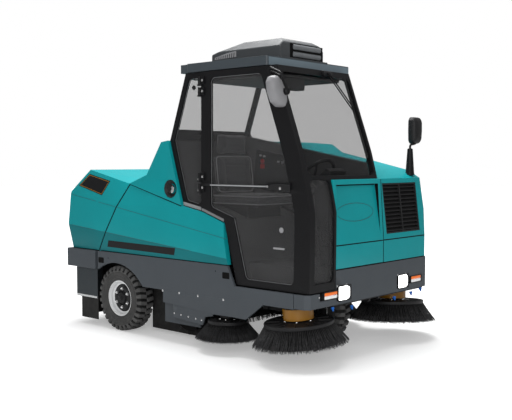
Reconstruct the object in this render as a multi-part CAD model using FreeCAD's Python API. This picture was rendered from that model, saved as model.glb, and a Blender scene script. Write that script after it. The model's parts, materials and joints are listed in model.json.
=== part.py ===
import FreeCAD, Part
import math
import os

# A compact ride-on road sweeper: three wheels, a cab on the right, an engine hood at the
# left front, a hopper at the rear that swings up to empty, and four side brushes.
# Millimetres, +X forward, +Y to the machine's left, +Z up. The origin is on the ground,
# in the middle of the overall length and width.

# Driving sizes of the whole machine
BODY_LENGTH = 2656.0
BODY_WIDTH = 1544.0
ROOF_TOP_Z = 2120.0
REAR_OVERHANG = 660.0
FRONT_OVERHANG = 510.0
SHEET = 20.0
RUN_GAP = 10.0
SEAM_GAP = 8.0
CUT_OVERRUN = 30.0
FIT_GAP = 0.3

# Wheels and tyres
TYRE_RADIUS = 270.0
TYRE_WIDTH = 160.0
TYRE_SHOULDER = 26.0
TREAD_DEPTH = 16.0
LUG_COUNT = 30
LUG_SHARE = 0.62
LUG_STAGGER_SHARE = 0.25
RIM_RADIUS = 148.0
RIM_LIP = 10.0
HUB_RADIUS = 62.0
AXLE_RADIUS = 30.0
AXLE_FLANGE_RADIUS = 60.0
SHAFT_FIT = 0.05
WHEEL_INSET = 108.0
DISC_WEB = 14.0
DISC_PLACE_SHARE = 0.12
HUB_LENGTH_SHARE = 0.7

# Front steering fork
FORK_CLEARANCE = 14.0
FORK_PLATE = 22.0
FORK_PLATE_WIDTH = 110.0
FORK_CROWN_GAP = 16.0
FORK_CROWN_HEIGHT = 30.0
KINGPIN_RADIUS = 38.0
BRIDGE_HEIGHT = 44.0
BRIDGE_LENGTH = 100.0
CAB_PAD_RADIUS = 24.0
TOW_EYE_RADIUS = 30.0
TOW_HOLE_RADIUS = 16.0
TOW_EYE_THICKNESS = 20.0
TOW_HOLE_DROP = 34.0

# Chassis rails and cross members
RAIL_INSET = 212.0
RAIL_WIDTH = 46.0
RAIL_TOP_Z = 500.0
RAIL_HEIGHT = 70.0
CROSS_MEMBER_LENGTH = 60.0
OUTRIGGER_LENGTH = 40.0
REAR_OUTRIGGER_SPACING = 120.0
FRONT_OUTRIGGER_SPACING = 160.0
UPRIGHT_LENGTH = 60.0
UPRIGHT_WIDTH = 40.0
HANGER_LENGTH = 130.0
CLAMP_PLATE = 16.0
JACK_PAD_LENGTH = 110.0
JACK_PAD_THICKNESS = 10.0

# Grey skirts, bumper and hopper's rear bumper
SKIRT_TOP_Z = 648.0
SKIRT_BOTTOM_Z = 404.0
SKIRT_LOW_Z = 282.0
SILL_Z = 508.0
CORNER_CHAMFER = 32.0
BUMPER_REACH = 120.0
REAR_BUMPER_BOTTOM_Z = 493.0
REAR_BUMPER_LENGTH = 389.0
REAR_BUMPER_DEPTH = 60.0

# Teal body
PANEL_THICKNESS = 40.0
TOP_LEAN_SHARE = 0.18
LOW_LEAN_SHARE = 0.12
HOOD_LEAN_SHARE = 0.08
COVER_WALL = 26.0
COVER_SIDE_INSET = 78.0
COVER_LIP = 52.0
COVER_HEADER = 31.0
COVER_FOOT_INSET = 6.5
FAIRING_INSET = 26.0
FAIRING_WALL = 30.0
FILLER_RADIUS = 70.0
FILLER_DEPTH = 24.0
FILLER_CAP_RADIUS = 34.0
FILLER_NECK_RADIUS = 24.0
FILLER_NECK_SHARE = 0.5
FILLER_CAP_SHARE = 0.9
PANEL_SEAM = 6.0
PANEL_FOOT = 12.0

# Hopper
HOPPER_PIN_RADIUS = 8.0
HOPPER_PIN_RISE = 23.0
KNUCKLE_RADIUS = 14.0
KNUCKLE_LENGTH = 46.0
STRAP_LENGTH = 76.0
STRAP_THICKNESS = 9.0
HINGE_INSET = 372.0
BIN_GAP = 26.0
BIN_WALL = 12.0
BIN_SETBACK = 78.0
BIN_NECK = 52.0
BIN_BOTTOM_Z = 215.0
BIN_MOUTH_TOP_Z = 520.0
SIDE_PLATE_THICKNESS = 8.0
SIDE_PLATE_BOTTOM_Z = 236.0
FLAP_THICKNESS = 6.0
FLAP_BOTTOM_Z = 58.0

# Cab
CAB_INSET = 52.0
CAB_WIDTH = 838.0
CAB_BAR = 44.0
CAB_SIDE_BAR = 24.0
GLASS = 6.0
GLASS_INSET = 14.0
FLOOR_THICKNESS = 18.0
SCREEN_BAR_BOTTOM_Z = 1274.0
SCREEN_BAR_HEIGHT = 26.0
SCREEN_TOP_Z = 2012.0
ROOF_RIGHT_LIP = 30.0
ROOF_LEFT_LIP = 97.0
ROOF_REAR_LIP = 88.0
ROOF_REAR_SHARE = 0.557
ROOF_FRONT_SHARE = 0.858
ROOF_CORNER_RADIUS = 24.0
REAR_WINDOW_BOTTOM_Z = 1640.0
LEFT_SILL_BACK_Z = 1845.0
LEFT_SILL_FRONT_Z = 1366.0
REAR_WALL_TOP_Z = 1560.0

# Door
DOOR_THICKNESS = 30.0
DOOR_GAP = 6.0
DOOR_BAR = 46.0
DOOR_FRONT_STILE = 88.0
DOOR_REAR_STILE = 48.0
GRAB_RADIUS = 8.0
HINGE_RADIUS = 11.0
HINGE_PIN_RADIUS = 6.0
HINGE_LENGTH = 56.0
HINGE_CLEARANCE = 0.6
HANDLE_THICKNESS = 14.0
HANDLE_RISE = 28.0

# Front cowl, engine hood and grille
LOW_PANE_WIDTH = 264.0
HOOD_GAP = 16.0
HOOD_CORNER = 50.0
COWL_THICKNESS = 40.0
HOOD_WALL = 24.0
HOOD_LIP = 48.0
LOWER_PANEL_TOP_Z = 818.0
COWL_TOP_Z = 1272.0
COWL_BORDER = 36.0
COWL_RECESS = 34.0
GRILLE_SIDE = 48.0
GRILLE_WIDTH = 478.0
GRILLE_BOTTOM_Z = 860.0
GRILLE_TOP_Z = 1236.0
GRILLE_BORDER = 10.0
SLAT_COUNT = 13
SLAT_THICKNESS = 6.0

# Side brushes
FRONT_BRUSH_SETBACK = 206.0
FRONT_BRUSH_INSET = 186.0
FRONT_BRUSH_TIP_RADIUS = 345.0
FRONT_BRUSH_DISC_RADIUS = 246.0
FRONT_BRUSH_TIP_Z = 135.0
BRISTLE_HEIGHT = 140.0
DISC_THICKNESS = 26.0
BRUSH_CAMBER_DEG = 3.7
BRUSH_PITCH_DEG = 3.2
MOTOR_GUARD_RADIUS = 108.0
MOTOR_GUARD_HEIGHT = 78.0
MOTOR_SHAFT_RADIUS = 22.0
HUB_HEIGHT = 52.0
MOTOR_SEAT_HEIGHT = 36.4
SHAFT_DEPTH = 46.8
MID_BRUSH_INSET = 124.0
MID_BRUSH_TIP_RADIUS = 250.0
MID_BRUSH_DISC_RADIUS = 150.0
MID_BRUSH_TIP_Z = 92.0
MID_BRISTLE_HEIGHT = 118.0

# Main brush
MAIN_BRUSH_Z = 236.0
MAIN_BRUSH_RADIUS = 188.0
MAIN_BRUSH_INSET = 132.0
MAIN_BRUSH_SHAFT_RADIUS = 24.0
BEARING_RADIUS = 48.0
HOUSING_PLATE = 10.0
HOUSING_INSET = 72.0

# Tail lamps, steel plates and rubber flaps of the hopper
TAIL_LAMP_DEPTH = 20.0
TAIL_LAMP_EDGE = 40.0
TAIL_LAMP_LENGTH = 150.0
TAIL_LAMP_HEIGHT = 70.0
TAIL_LAMP_Z = 535.0
PLATE_SETBACK = 92.0
PLATE_INSET = 28.0
FLAP_SETBACK = 52.0
FLAP_LAP = 20.0

# Lamps in the front bumper
LAMP_Z = 483.0
LAMP_PROUD = 5.0
LAMP_BACK = 6.0
HEAD_LAMP_INSET = 384.0
HEAD_LAMP_LENGTH = 134.0
HEAD_LAMP_HEIGHT = 96.0
INDICATOR_INSET = 210.0
INDICATOR_LENGTH = 156.0
INDICATOR_HEIGHT = 58.0

# Mirrors and wiper
MIRROR_OUT = 106.0
MIRROR_WIDTH = 150.0
MIRROR_HEIGHT = 230.0
MIRROR_DEPTH = 80.0
MIRROR_DROP_SHARE = 0.62
MIRROR_ROUNDING_SHARE = 0.3
ARM_RADIUS = 9.0
LEFT_POST_INSET = 117.0
LEFT_MIRROR_OUT = 90.0
POST_FOOT_RADIUS = 34.0
POST_TIP_RADIUS = 16.0
POST_SINK = 30.0
WIPER_PIVOT_SIDE = 309.0
WIPER_BLADE_SIDE = 88.0
WIPER_ARM_RADIUS = 6.0
WIPER_BLADE_RADIUS = 8.0

# Engine, service door, cowl and the inside of the cab
SERVICE_END_GAP = 2.5
ENGINE_GAP = 40.0
ENGINE_HEIGHT = 480.0
SERVICE_RISE = 36.0
SERVICE_HEIGHT = 300.0
SERVICE_DEPTH = 150.0
SERVICE_HINGE_INSET = 56.0
SERVICE_PLATE_SHARES = (0.3, 3.0)
SERVICE_PLATE_DEPTH = 22.0
COWL_LEAN = 32.0
DASH_DEPTH = 120.0
DASH_DROP = 70.0
DASH_FACE = 70.0
COLUMN_RADIUS = 26.0
COLUMN_LENGTH = 200.0
COLUMN_ANGLE_DEG = 40.0
COLUMN_PLACE_SHARE = 0.7
STEERING_RADIUS = 180.0
STEERING_TUBE = 13.0
STEERING_HUB_HEIGHT = 39.0
SPOKE_RADIUS = 9.0
SPOKE_ANGLES_DEG = (30, 150, 270)
DRIVER_SIDE = 420.0
SEAT_WIDTH = 460.0
SEAT_Z = 1070.0
CUSHION = 80.0
BACK_HEIGHT = 378.0
SEAT_RECLINE = 35.0
BACK_INSET = 27.5
HEADREST_HEIGHT = 165.0
HEADREST_DEPTH = 80.0
HEADREST_WIDTH = 300.0

# Air conditioner on the roof
UNIT_HEIGHT = 152.0
UNIT_RAMP = 270.0
UNIT_FACE_SHARE = 0.8
UNIT_FRONT_CHAMFER = 51.0
UNIT_REAR_HEIGHT = 78.0
UNIT_SIDE_CHAMFER = 59.5
UNIT_SIDE = 150.0
UNIT_WIDTH = 500.0

# Side brush arms and motors
ARM_INSET = 44.0
ARM_WIDTH = 70.0
ARM_HEIGHT = 44.0
ARM_PIN_RADIUS = 12.0
ARM_PIVOT_Z = 352.0
ARM_REACH_SHARE = 0.8
ARM_END_RISE = 9.0
MID_MOTOR_RADIUS = 62.0
MID_MOTOR_RISE = 39.0
MID_SHAFT_DEPTH = 36.0
BRISTLE_INNER_SHARE = 0.62


def side_x(share):
    """Place along the body's length, from its rear end."""
    return BODY_REAR + share * BODY_LENGTH


def side_z(share):
    """Height as a share of the roof's height."""
    return share * ROOF_TOP_Z


def side_points(shares):
    """Side-view outline points from shares of the body's length and the roof's height."""
    return [(side_x(x_share), side_z(z_share)) for x_share, z_share in shares]


BODY_HALF = BODY_WIDTH / 2
OVERALL_LENGTH = BODY_LENGTH - FRONT_BRUSH_SETBACK + FRONT_BRUSH_TIP_RADIUS
BODY_REAR = -OVERALL_LENGTH / 2
BODY_FRONT = BODY_REAR + BODY_LENGTH
REAR_AXLE_X = BODY_REAR + REAR_OVERHANG
FRONT_AXLE_X = BODY_FRONT - FRONT_OVERHANG
REAR_WHEEL_Y = BODY_HALF - WHEEL_INSET
RAIL_OUTER_Y = BODY_HALF - RAIL_INSET
RAIL_INNER_Y = RAIL_OUTER_Y - RAIL_WIDTH
RAIL_BOTTOM_Z = RAIL_TOP_Z - RAIL_HEIGHT
FRONT_BRUSH_X = BODY_FRONT - FRONT_BRUSH_SETBACK
FRONT_BRUSH_Y = BODY_HALF - FRONT_BRUSH_INSET
MID_BRUSH_Y = BODY_HALF - MID_BRUSH_INSET
MAIN_BRUSH_HALF_LENGTH = BODY_HALF - MAIN_BRUSH_INSET
HOUSING_Y = BODY_HALF - HOUSING_INSET
ARM_Y = RAIL_INNER_Y - ARM_INSET
FAIRING_HALF_WIDTH = BODY_HALF - FAIRING_INSET
HINGE_Y = BODY_HALF - HINGE_INSET
BIN_HALF_WIDTH = RAIL_INNER_Y - BIN_GAP
CAB_RIGHT_Y = -BODY_HALF + CAB_INSET
CAB_LEFT_Y = CAB_RIGHT_Y + CAB_WIDTH
ROOF_RIGHT_Y = CAB_RIGHT_Y - ROOF_RIGHT_LIP
ROOF_LEFT_Y = CAB_LEFT_Y + ROOF_LEFT_LIP
COWL_RIGHT_Y = CAB_RIGHT_Y + LOW_PANE_WIDTH
HOOD_RIGHT_Y = CAB_LEFT_Y + HOOD_GAP
GRILLE_RIGHT_Y = HOOD_RIGHT_Y + GRILLE_SIDE
GRILLE_LEFT_Y = GRILLE_RIGHT_Y + GRILLE_WIDTH
DRIVER_Y = CAB_RIGHT_Y + DRIVER_SIDE
UNIT_RIGHT_Y = CAB_RIGHT_Y + UNIT_SIDE
UNIT_LEFT_Y = UNIT_RIGHT_Y + UNIT_WIDTH
WIPER_PIVOT_Y = CAB_LEFT_Y - WIPER_PIVOT_SIDE
WIPER_BLADE_Y = CAB_LEFT_Y - WIPER_BLADE_SIDE
HEAD_LAMP_Y = BODY_HALF - HEAD_LAMP_INSET
INDICATOR_Y = BODY_HALF - INDICATOR_INSET
LEFT_POST_Y = BODY_HALF - LEFT_POST_INSET
CROWN_TOP_Z = TYRE_RADIUS * 2 + FORK_CROWN_GAP + FORK_CROWN_HEIGHT
BRIDGE_LOW_Z = CROWN_TOP_Z + RUN_GAP / 2
BRIDGE_TOP_Z = BRIDGE_LOW_Z + BRIDGE_HEIGHT
WELL_TOP_Z = BRIDGE_TOP_Z + RUN_GAP
WELL_RADIUS = math.hypot(TYRE_RADIUS, TYRE_WIDTH / 2) + RUN_GAP * 3

# Side-view points, as shares of the body's length from its rear and of the roof's height
SEAM_SHARES = [(0.1585, 0.3085), (0.2587, 0.4925), (0.3046, 0.5741)]
CREASE_SHARES = [(0.0241, 0.5260), (0.7248, 0.3962)]
LOW_CREASE_SHARES = [(0.0120, 0.4028), (0.5810, 0.3443)]
COVER_REAR_SHARES = [(0.0218, 0.3085), (0.0085, 0.4057), (0.0238, 0.5370), (0.1066, 0.6255)]
SHOULDER_SHARES = [(0.3046, 0.5741), (0.5338, 0.5014), (0.6260, 0.4807), (0.7036, 0.4495)]
PANEL_FRONT_SHARE = (0.7240, 0.3085)
FAIRING_SHARES = [(0.3046, 0.5741), (0.3844, 0.6085), (0.4492, 0.7290), (0.4778, 0.7340)]
CAB_BASE_SHARES = [(0.5338, 0.5014), (0.6260, 0.4807), (0.7036, 0.4495), (0.7492, 0.2415)]
CAB_TOP_SHARE = 0.97
ROOF_THICKNESS = ROOF_TOP_Z * (1 - CAB_TOP_SHARE)
CAB_FRONT_SHARES = [
    (0.9985, 0.2440), (1.0000, 0.3844), (1.0000, 0.4958), (0.9900, 0.5552),
    (0.9785, 0.6123), (0.9620, 0.6887), (0.9415, 0.7618), (0.9240, 0.8217), (0.8811, CAB_TOP_SHARE),
]
CAB_REAR_SHARES = [(0.5438, CAB_TOP_SHARE), (0.4778, 0.7340)]
SKIRT_REAR_SHARES = [(0.1600, 0.2330), (0.1600, 0.1906)]
ARCH_SHARES = [(0.1600, 0.2326), (0.2406, 0.2665), (0.3750, 0.1892)]
SKIRT_LOW_SHARES = (0.7535, 0.7911, 0.8520)
SILL_START_SHARE = 0.7492
FILLER_SHARE = (0.4880, 0.5600)
CAB_MIDDLE_SHARE = 0.8700
POST_SHARE = 0.6144
HINGE_HEIGHT_SHARES = (0.5550, 0.5930, 0.8880, 0.9250)
HANDLE_HEIGHT_SHARE = 0.5780
HANDLE_SHARES = (0.8600, 0.9400)
MIRROR_ARM_SHARE = (0.8700, 0.9550)
MIRROR_SHARE = (0.9251, 0.8880)
LEFT_POST_SHARE = (0.9620, 0.7080)
HOOD_TOP_SHARES = [(0.9785, 0.5991), (0.9390, 0.6278), (0.8116, 0.6640), (0.6968, 0.6960),
                   (0.6580, 0.7288), (0.5700, 0.7368)]
SERVICE_SHARES = (0.6700, 0.9300)
ENGINE_SHARES = (0.6500, 0.9200)
SEAT_SHARES = (0.5700, 0.7600)
UNIT_SHARES = (0.5900, 0.8443)
WIPER_PIVOT_SHARE = (0.8980, 0.9600)
WIPER_END_SHARE = (0.9480, 0.8350)
BLADE_TOP_SHARE = (0.9060, 0.9560)
BLADE_FOOT_SHARE = (0.9850, 0.6720)
APRON_SHARES = [
    (0.4650, 0.1905), (0.4650, 0.1462), (0.6730, 0.1321), (0.7535, 0.1340), (0.7535, 0.1905),
]
LOW_APRON_SHARES = [
    (0.5036, 0.1420), (0.5036, 0.0967), (0.6248, 0.0863), (0.6350, 0.1170), (0.6640, 0.1236),
    (0.6640, 0.1415),
]
APRON_LAP_SHARES = [(0.4650, 0.1650), (0.7535, 0.2020)]
ARM_PIVOT_SHARE = 0.7900
MAIN_BRUSH_SHARE = 0.518637
MID_BRUSH_SHARE = 0.682
MAIN_BRUSH_X = side_x(MAIN_BRUSH_SHARE)
MID_BRUSH_X = side_x(MID_BRUSH_SHARE)


def vec(x, y, z):
    return FreeCAD.Vector(x, y, z)


def prism_xz(points, y_low, y_high):
    """Side-view outline pulled across the machine."""
    wire = Part.makePolygon([vec(x, y_low, z) for x, z in points + points[:1]])
    return Part.Face(wire).extrude(vec(0, y_high - y_low, 0))


def prism_yz(points, x_low, x_high):
    """Front-view outline pulled along the machine."""
    wire = Part.makePolygon([vec(x_low, y, z) for y, z in points + points[:1]])
    return Part.Face(wire).extrude(vec(x_high - x_low, 0, 0))


def prism_xy(points, z_low, z_high):
    """Plan outline pulled upwards."""
    wire = Part.makePolygon([vec(x, y, z_low) for x, y in points + points[:1]])
    return Part.Face(wire).extrude(vec(0, 0, z_high - z_low))


def block(x_low, x_high, y_low, y_high, z_low, z_high):
    size = (x_high - x_low, y_high - y_low, z_high - z_low)
    return Part.makeBox(*size, vec(x_low, y_low, z_low))


def rod(start, end, radius):
    """Round bar between two points."""
    path = vec(*end) - vec(*start)
    return Part.makeCylinder(radius, path.Length, vec(*start), path)


def rod_chain(points, radius):
    """Round bars through a row of points, with a ball at each turn."""
    bars = [rod(a, b, radius) for a, b in zip(points, points[1:])]
    balls = [Part.makeSphere(radius, vec(*point)) for point in points[1:-1]]
    return join(bars + balls)


def ring_y(x, y_low, y_high, z, outer, inner):
    """Washer about a transverse axis."""
    solid = Part.makeCylinder(outer, y_high - y_low, vec(x, y_low, z), vec(0, 1, 0))
    hole = Part.makeCylinder(inner, y_high - y_low, vec(x, y_low, z), vec(0, 1, 0))
    return solid.cut(hole)


def join(shapes):
    result = shapes[0]
    if len(shapes) > 1:
        result = shapes[0].multiFuse(shapes[1:])
    return result.removeSplitter()


def less(shape, *tools):
    return shape.cut(list(tools)).removeSplitter()


def mirrored(shape):
    """The same piece on the other side of the machine."""
    return shape.mirror(vec(0, 0, 0), vec(0, 1, 0))


def both_sides(shape):
    return Part.makeCompound([shape, mirrored(shape)])


def inset(points, distance):
    """Side-view outline moved inwards by a distance."""
    wire = Part.makePolygon([vec(x, 0, z) for x, z in points + points[:1]])
    shrunk = Part.Face(wire).makeOffset2D(-distance, 2)
    corners = [edge.firstVertex().Point for edge in shrunk.OuterWire.OrderedEdges]
    return [(corner.x, corner.z) for corner in corners]


def line_height(line, x):
    """Height of a sloping side-view line at a place along the machine."""
    (x_a, z_a), (x_b, z_b) = line
    return z_a + (z_b - z_a) * (x - x_a) / (x_b - x_a)


def lean_wedge(line, height, lean_share):
    """What a leaning side facet takes off beyond a sloping crease line.

    The facet leaves the side plane along the line and leans inwards with the height."""
    (x_a, z_a), (x_b, z_b) = line
    run = BODY_FRONT - BODY_REAR + CUT_OVERRUN * 2
    start_x = BODY_REAR - CUT_OVERRUN
    start_z = line_height(line, start_x)
    corners = [
        vec(start_x, -BODY_HALF, start_z),
        vec(start_x, -BODY_HALF + abs(height) * lean_share, start_z + height),
        vec(start_x, -BODY_WIDTH, start_z + height),
        vec(start_x, -BODY_WIDTH, start_z),
    ]
    face = Part.Face(Part.makePolygon(corners + corners[:1]))
    return face.extrude(vec(run, 0, run * (z_b - z_a) / (x_b - x_a)))


def side_facets(shape, top_lean_share=TOP_LEAN_SHARE):
    """Lean the body side inwards above the upper crease and below the lower one."""
    upper = lean_wedge(side_points(CREASE_SHARES), BODY_HALF, top_lean_share)
    lower = lean_wedge(side_points(LOW_CREASE_SHARES), -BODY_HALF / 2, LOW_LEAN_SHARE)
    return less(shape, upper, mirrored(upper), lower, mirrored(lower))


def tyre(x, y):
    """Block-tread tyre: a round carcass with lugs round it, and a bore for the rim."""
    half = TYRE_WIDTH / 2
    base = TYRE_RADIUS - TREAD_DEPTH
    profile = [
        (RIM_RADIUS, -half + TYRE_SHOULDER / 2),
        (RIM_RADIUS + TYRE_SHOULDER, -half),
        (base - TYRE_SHOULDER, -half),
        (base, -half + TYRE_SHOULDER),
        (base, half - TYRE_SHOULDER),
        (base - TYRE_SHOULDER, half),
        (RIM_RADIUS + TYRE_SHOULDER, half),
        (RIM_RADIUS, half - TYRE_SHOULDER / 2),
    ]
    corners = [vec(x + r, y + across, TYRE_RADIUS) for r, across in profile]
    face = Part.Face(Part.makePolygon(corners + corners[:1]))
    carcass = face.revolve(vec(x, y, TYRE_RADIUS), vec(0, 1, 0), 360)
    lugs = []
    pitch = 360.0 / LUG_COUNT
    lug_half = math.radians(pitch) * TYRE_RADIUS * LUG_SHARE / 2
    root = base - TREAD_DEPTH
    for index in range(LUG_COUNT):
        for side in (-1, 1):
            across = sorted((0, half * side))
            lug = block(x - lug_half, x + lug_half, *across, root, TYRE_RADIUS)
            lug.translate(vec(0, y, TYRE_RADIUS))
            turn = (index + side * LUG_STAGGER_SHARE) * pitch
            lug.rotate(vec(x, y, TYRE_RADIUS), vec(0, 1, 0), turn)
            lugs.append(lug)
    envelope = rod((x, y - half, TYRE_RADIUS), (x, y + half, TYRE_RADIUS), TYRE_RADIUS)
    body = join([carcass] + lugs)
    return body.common(envelope).removeSplitter()


def rim(x, y, outward):
    """Dished steel rim with its disc towards the outer side and a bored hub."""
    half = TYRE_WIDTH / 2
    z = TYRE_RADIUS
    barrel = ring_y(x, y - half + TYRE_SHOULDER / 2, y + half - TYRE_SHOULDER / 2, z,
                    RIM_RADIUS - FIT_GAP, RIM_RADIUS - RIM_LIP)
    disc_y = y + outward * TYRE_WIDTH * DISC_PLACE_SHARE
    hub_half = half * HUB_LENGTH_SHARE
    disc = ring_y(x, disc_y - DISC_WEB / 2, disc_y + DISC_WEB / 2, z,
                  RIM_RADIUS - RIM_LIP / 2, HUB_RADIUS / 2)
    hub = ring_y(x, y - hub_half, y + hub_half, z, HUB_RADIUS, AXLE_RADIUS + SHAFT_FIT)
    return join([barrel, disc, hub])


def rear_axles():
    """Stub axle with its flange on the inner side of each rear wheel."""
    z = TYRE_RADIUS
    inner = RAIL_OUTER_Y
    hub_end = REAR_WHEEL_Y + TYRE_WIDTH * HUB_LENGTH_SHARE / 2
    stub = rod((REAR_AXLE_X, inner, z), (REAR_AXLE_X, hub_end, z), AXLE_RADIUS)
    flange = rod((REAR_AXLE_X, inner, z),
                 (REAR_AXLE_X, inner + CLAMP_PLATE, z), AXLE_FLANGE_RADIUS)
    return both_sides(join([stub, flange]))


def chassis_frame():
    """Rails with their jacking pads, cross members, outriggers, axle hangers and uprights."""
    pieces = []
    rear_x = REAR_AXLE_X - HANGER_LENGTH / 2
    front_x = BODY_FRONT - SHEET - SEAM_GAP
    hanger_bottom = TYRE_RADIUS - AXLE_FLANGE_RADIUS
    upright_rear = side_x(SEAM_SHARES[-1][0]) + UPRIGHT_LENGTH
    upright_front = upright_rear + UPRIGHT_LENGTH
    upright_top = line_height(side_points(SHOULDER_SHARES[:2]), upright_front)
    main_front = MAIN_BRUSH_X + MAIN_BRUSH_RADIUS
    for side in (-1, 1):
        rail_y = sorted((side * RAIL_INNER_Y, side * RAIL_OUTER_Y))
        pieces.append(block(rear_x, front_x, *rail_y, RAIL_BOTTOM_Z, RAIL_TOP_Z))
        pieces.append(block(rear_x, rear_x + HANGER_LENGTH, *rail_y, hanger_bottom, RAIL_BOTTOM_Z))
        column = sorted((side * (RAIL_INNER_Y - UPRIGHT_WIDTH), side * RAIL_INNER_Y))
        pieces.append(block(upright_rear, upright_front, *column, RAIL_TOP_Z, upright_top))
        arm = sorted((side * RAIL_OUTER_Y, side * (BODY_HALF - SHEET)))
        for x in (upright_front + REAR_OUTRIGGER_SPACING, main_front, FRONT_AXLE_X,
                  front_x - FRONT_OUTRIGGER_SPACING):
            pieces.append(block(x, x + OUTRIGGER_LENGTH, *arm, RAIL_BOTTOM_Z, RAIL_TOP_Z))
        jack_x = MID_BRUSH_X - MID_MOTOR_RADIUS - RUN_GAP
        pieces.append(block(jack_x - JACK_PAD_LENGTH, jack_x, *rail_y,
                            RAIL_BOTTOM_Z - JACK_PAD_THICKNESS, RAIL_BOTTOM_Z))
    for x in (front_x - CROSS_MEMBER_LENGTH, main_front + CROSS_MEMBER_LENGTH,
              upright_front - CROSS_MEMBER_LENGTH):
        pieces.append(block(x, x + CROSS_MEMBER_LENGTH, -RAIL_INNER_Y, RAIL_INNER_Y,
                            RAIL_BOTTOM_Z, RAIL_TOP_Z))
    floor_line = side_points([CAB_BASE_SHARES[-1], CAB_FRONT_SHARES[0]])
    for y in (-RAIL_INNER_Y + CAB_PAD_RADIUS, 0):
        x = front_x - CROSS_MEMBER_LENGTH / 2
        cab_floor_z = line_height(floor_line, x - CAB_PAD_RADIUS)
        pieces.append(rod((x, y, RAIL_TOP_Z), (x, y, cab_floor_z), CAB_PAD_RADIUS))
    pieces.append(tow_eye(front_x - CROSS_MEMBER_LENGTH / 2))
    return Part.makeCompound(pieces + arm_brackets() + mid_brush_mounts() + kingpin_bridge())


def tow_eye(x):
    """Eye plate under the front cross member."""
    half = TOW_EYE_THICKNESS / 2
    hole_z = RAIL_BOTTOM_Z - TOW_HOLE_DROP
    disc = ring_y(x, -half, half, hole_z, TOW_EYE_RADIUS, TOW_HOLE_RADIUS)
    neck = block(x - TOW_EYE_RADIUS, x + TOW_EYE_RADIUS, -half, half, hole_z, RAIL_BOTTOM_Z)
    hole = rod((x, -half, hole_z), (x, half, hole_z), TOW_HOLE_RADIUS)
    return join([disc, neck.cut(hole)])


def kingpin_bridge():
    """Cross beam over the steered wheel, on a riser from each rail."""
    rear_x, front_x = FRONT_AXLE_X - BRIDGE_LENGTH / 2, FRONT_AXLE_X + BRIDGE_LENGTH / 2
    beam = block(rear_x, front_x, -RAIL_OUTER_Y, RAIL_OUTER_Y, BRIDGE_LOW_Z, BRIDGE_TOP_Z)
    bore = rod((FRONT_AXLE_X, 0, BRIDGE_LOW_Z), (FRONT_AXLE_X, 0, BRIDGE_TOP_Z),
               KINGPIN_RADIUS + SHAFT_FIT)
    pieces = [beam.cut(bore)]
    for side in (-1, 1):
        rail_y = sorted((side * RAIL_INNER_Y, side * RAIL_OUTER_Y))
        pieces.append(block(rear_x, front_x, *rail_y, RAIL_TOP_Z, BRIDGE_LOW_Z))
    return pieces


def hopper_hinge():
    """Side-view place of the pin that the hopper swings on, just above the seam's top."""
    seam_top = side_points(SEAM_SHARES)[-1]
    return (seam_top[0] - SEAM_GAP / 2, seam_top[1] + HOPPER_PIN_RISE)


def knuckle(y_low, y_high, direction, surface):
    """Hinge barrel with a strap lying on the sloping sheet behind or before it."""
    x, z = hopper_hinge()
    edge_x = x + direction * SEAM_GAP / 2
    end_x = x + direction * STRAP_LENGTH
    start_z = line_height(surface, edge_x)
    end_z = line_height(surface, end_x)
    strap = [
        (x, z - KNUCKLE_RADIUS), (edge_x, start_z), (end_x, end_z),
        (end_x, end_z + STRAP_THICKNESS), (x, z),
    ]
    barrel = Part.makeCylinder(KNUCKLE_RADIUS, y_high - y_low, vec(x, y_low, z), vec(0, 1, 0))
    return join([prism_xz(strap, y_low, y_high), barrel])


def hinge_spans():
    """Places across the machine of each hopper hinge's moving knuckle."""
    spans = []
    for y in (-HINGE_Y, HINGE_Y):
        half = KNUCKLE_LENGTH / 2
        spans.append((y - half, y + half))
    return spans


def cover_outline():
    seam = [(x - SEAM_GAP, z) for x, z in side_points(SEAM_SHARES)]
    return side_points(COVER_REAR_SHARES) + seam[::-1]


def hopper_cover():
    """Teal shell of the hopper, open below and towards the machine, with its hinge knuckles."""
    outline = cover_outline()
    outer = side_facets(prism_xz(outline, -BODY_HALF, BODY_HALF))
    inner_half = BODY_HALF - COVER_SIDE_INSET
    hollow = prism_xz(inset(outline, COVER_WALL), -inner_half, inner_half)
    bottom_z = outline[0][1]
    rear_x = outline[0][0] + COVER_WALL
    seam_top = outline[-3]
    below = block(rear_x, outline[-1][0] - COVER_WALL, -inner_half, inner_half,
                  bottom_z - CUT_OVERRUN, bottom_z + COVER_LIP)
    front = block(outline[-1][0] - COVER_WALL, seam_top[0] + CUT_OVERRUN, -inner_half, inner_half,
                  bottom_z - CUT_OVERRUN, seam_top[1] - COVER_HEADER)
    shell = less(outer, hollow, below, front)
    foot = block(outline[0][0] + COVER_FOOT_INSET, outline[-1][0] - COVER_FOOT_INSET,
                 -inner_half - COVER_WALL, inner_half + COVER_WALL, SKIRT_TOP_Z, bottom_z)
    foot = less(foot, below, block(rear_x, seam_top[0], -inner_half, inner_half,
                                   SKIRT_TOP_Z - CUT_OVERRUN, bottom_z + CUT_OVERRUN))
    surface = [outline[-3], outline[3]]
    knuckles = [knuckle(low, high, -1, surface) for low, high in hinge_spans()]
    x, z = hopper_hinge()
    bore_radius = HOPPER_PIN_RADIUS + SHAFT_FIT
    bores = [rod((x, low - CUT_OVERRUN, z), (x, high + CUT_OVERRUN, z), bore_radius)
             for low, high in hinge_spans()]
    return less(join([shell, foot] + knuckles), *bores)


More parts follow.
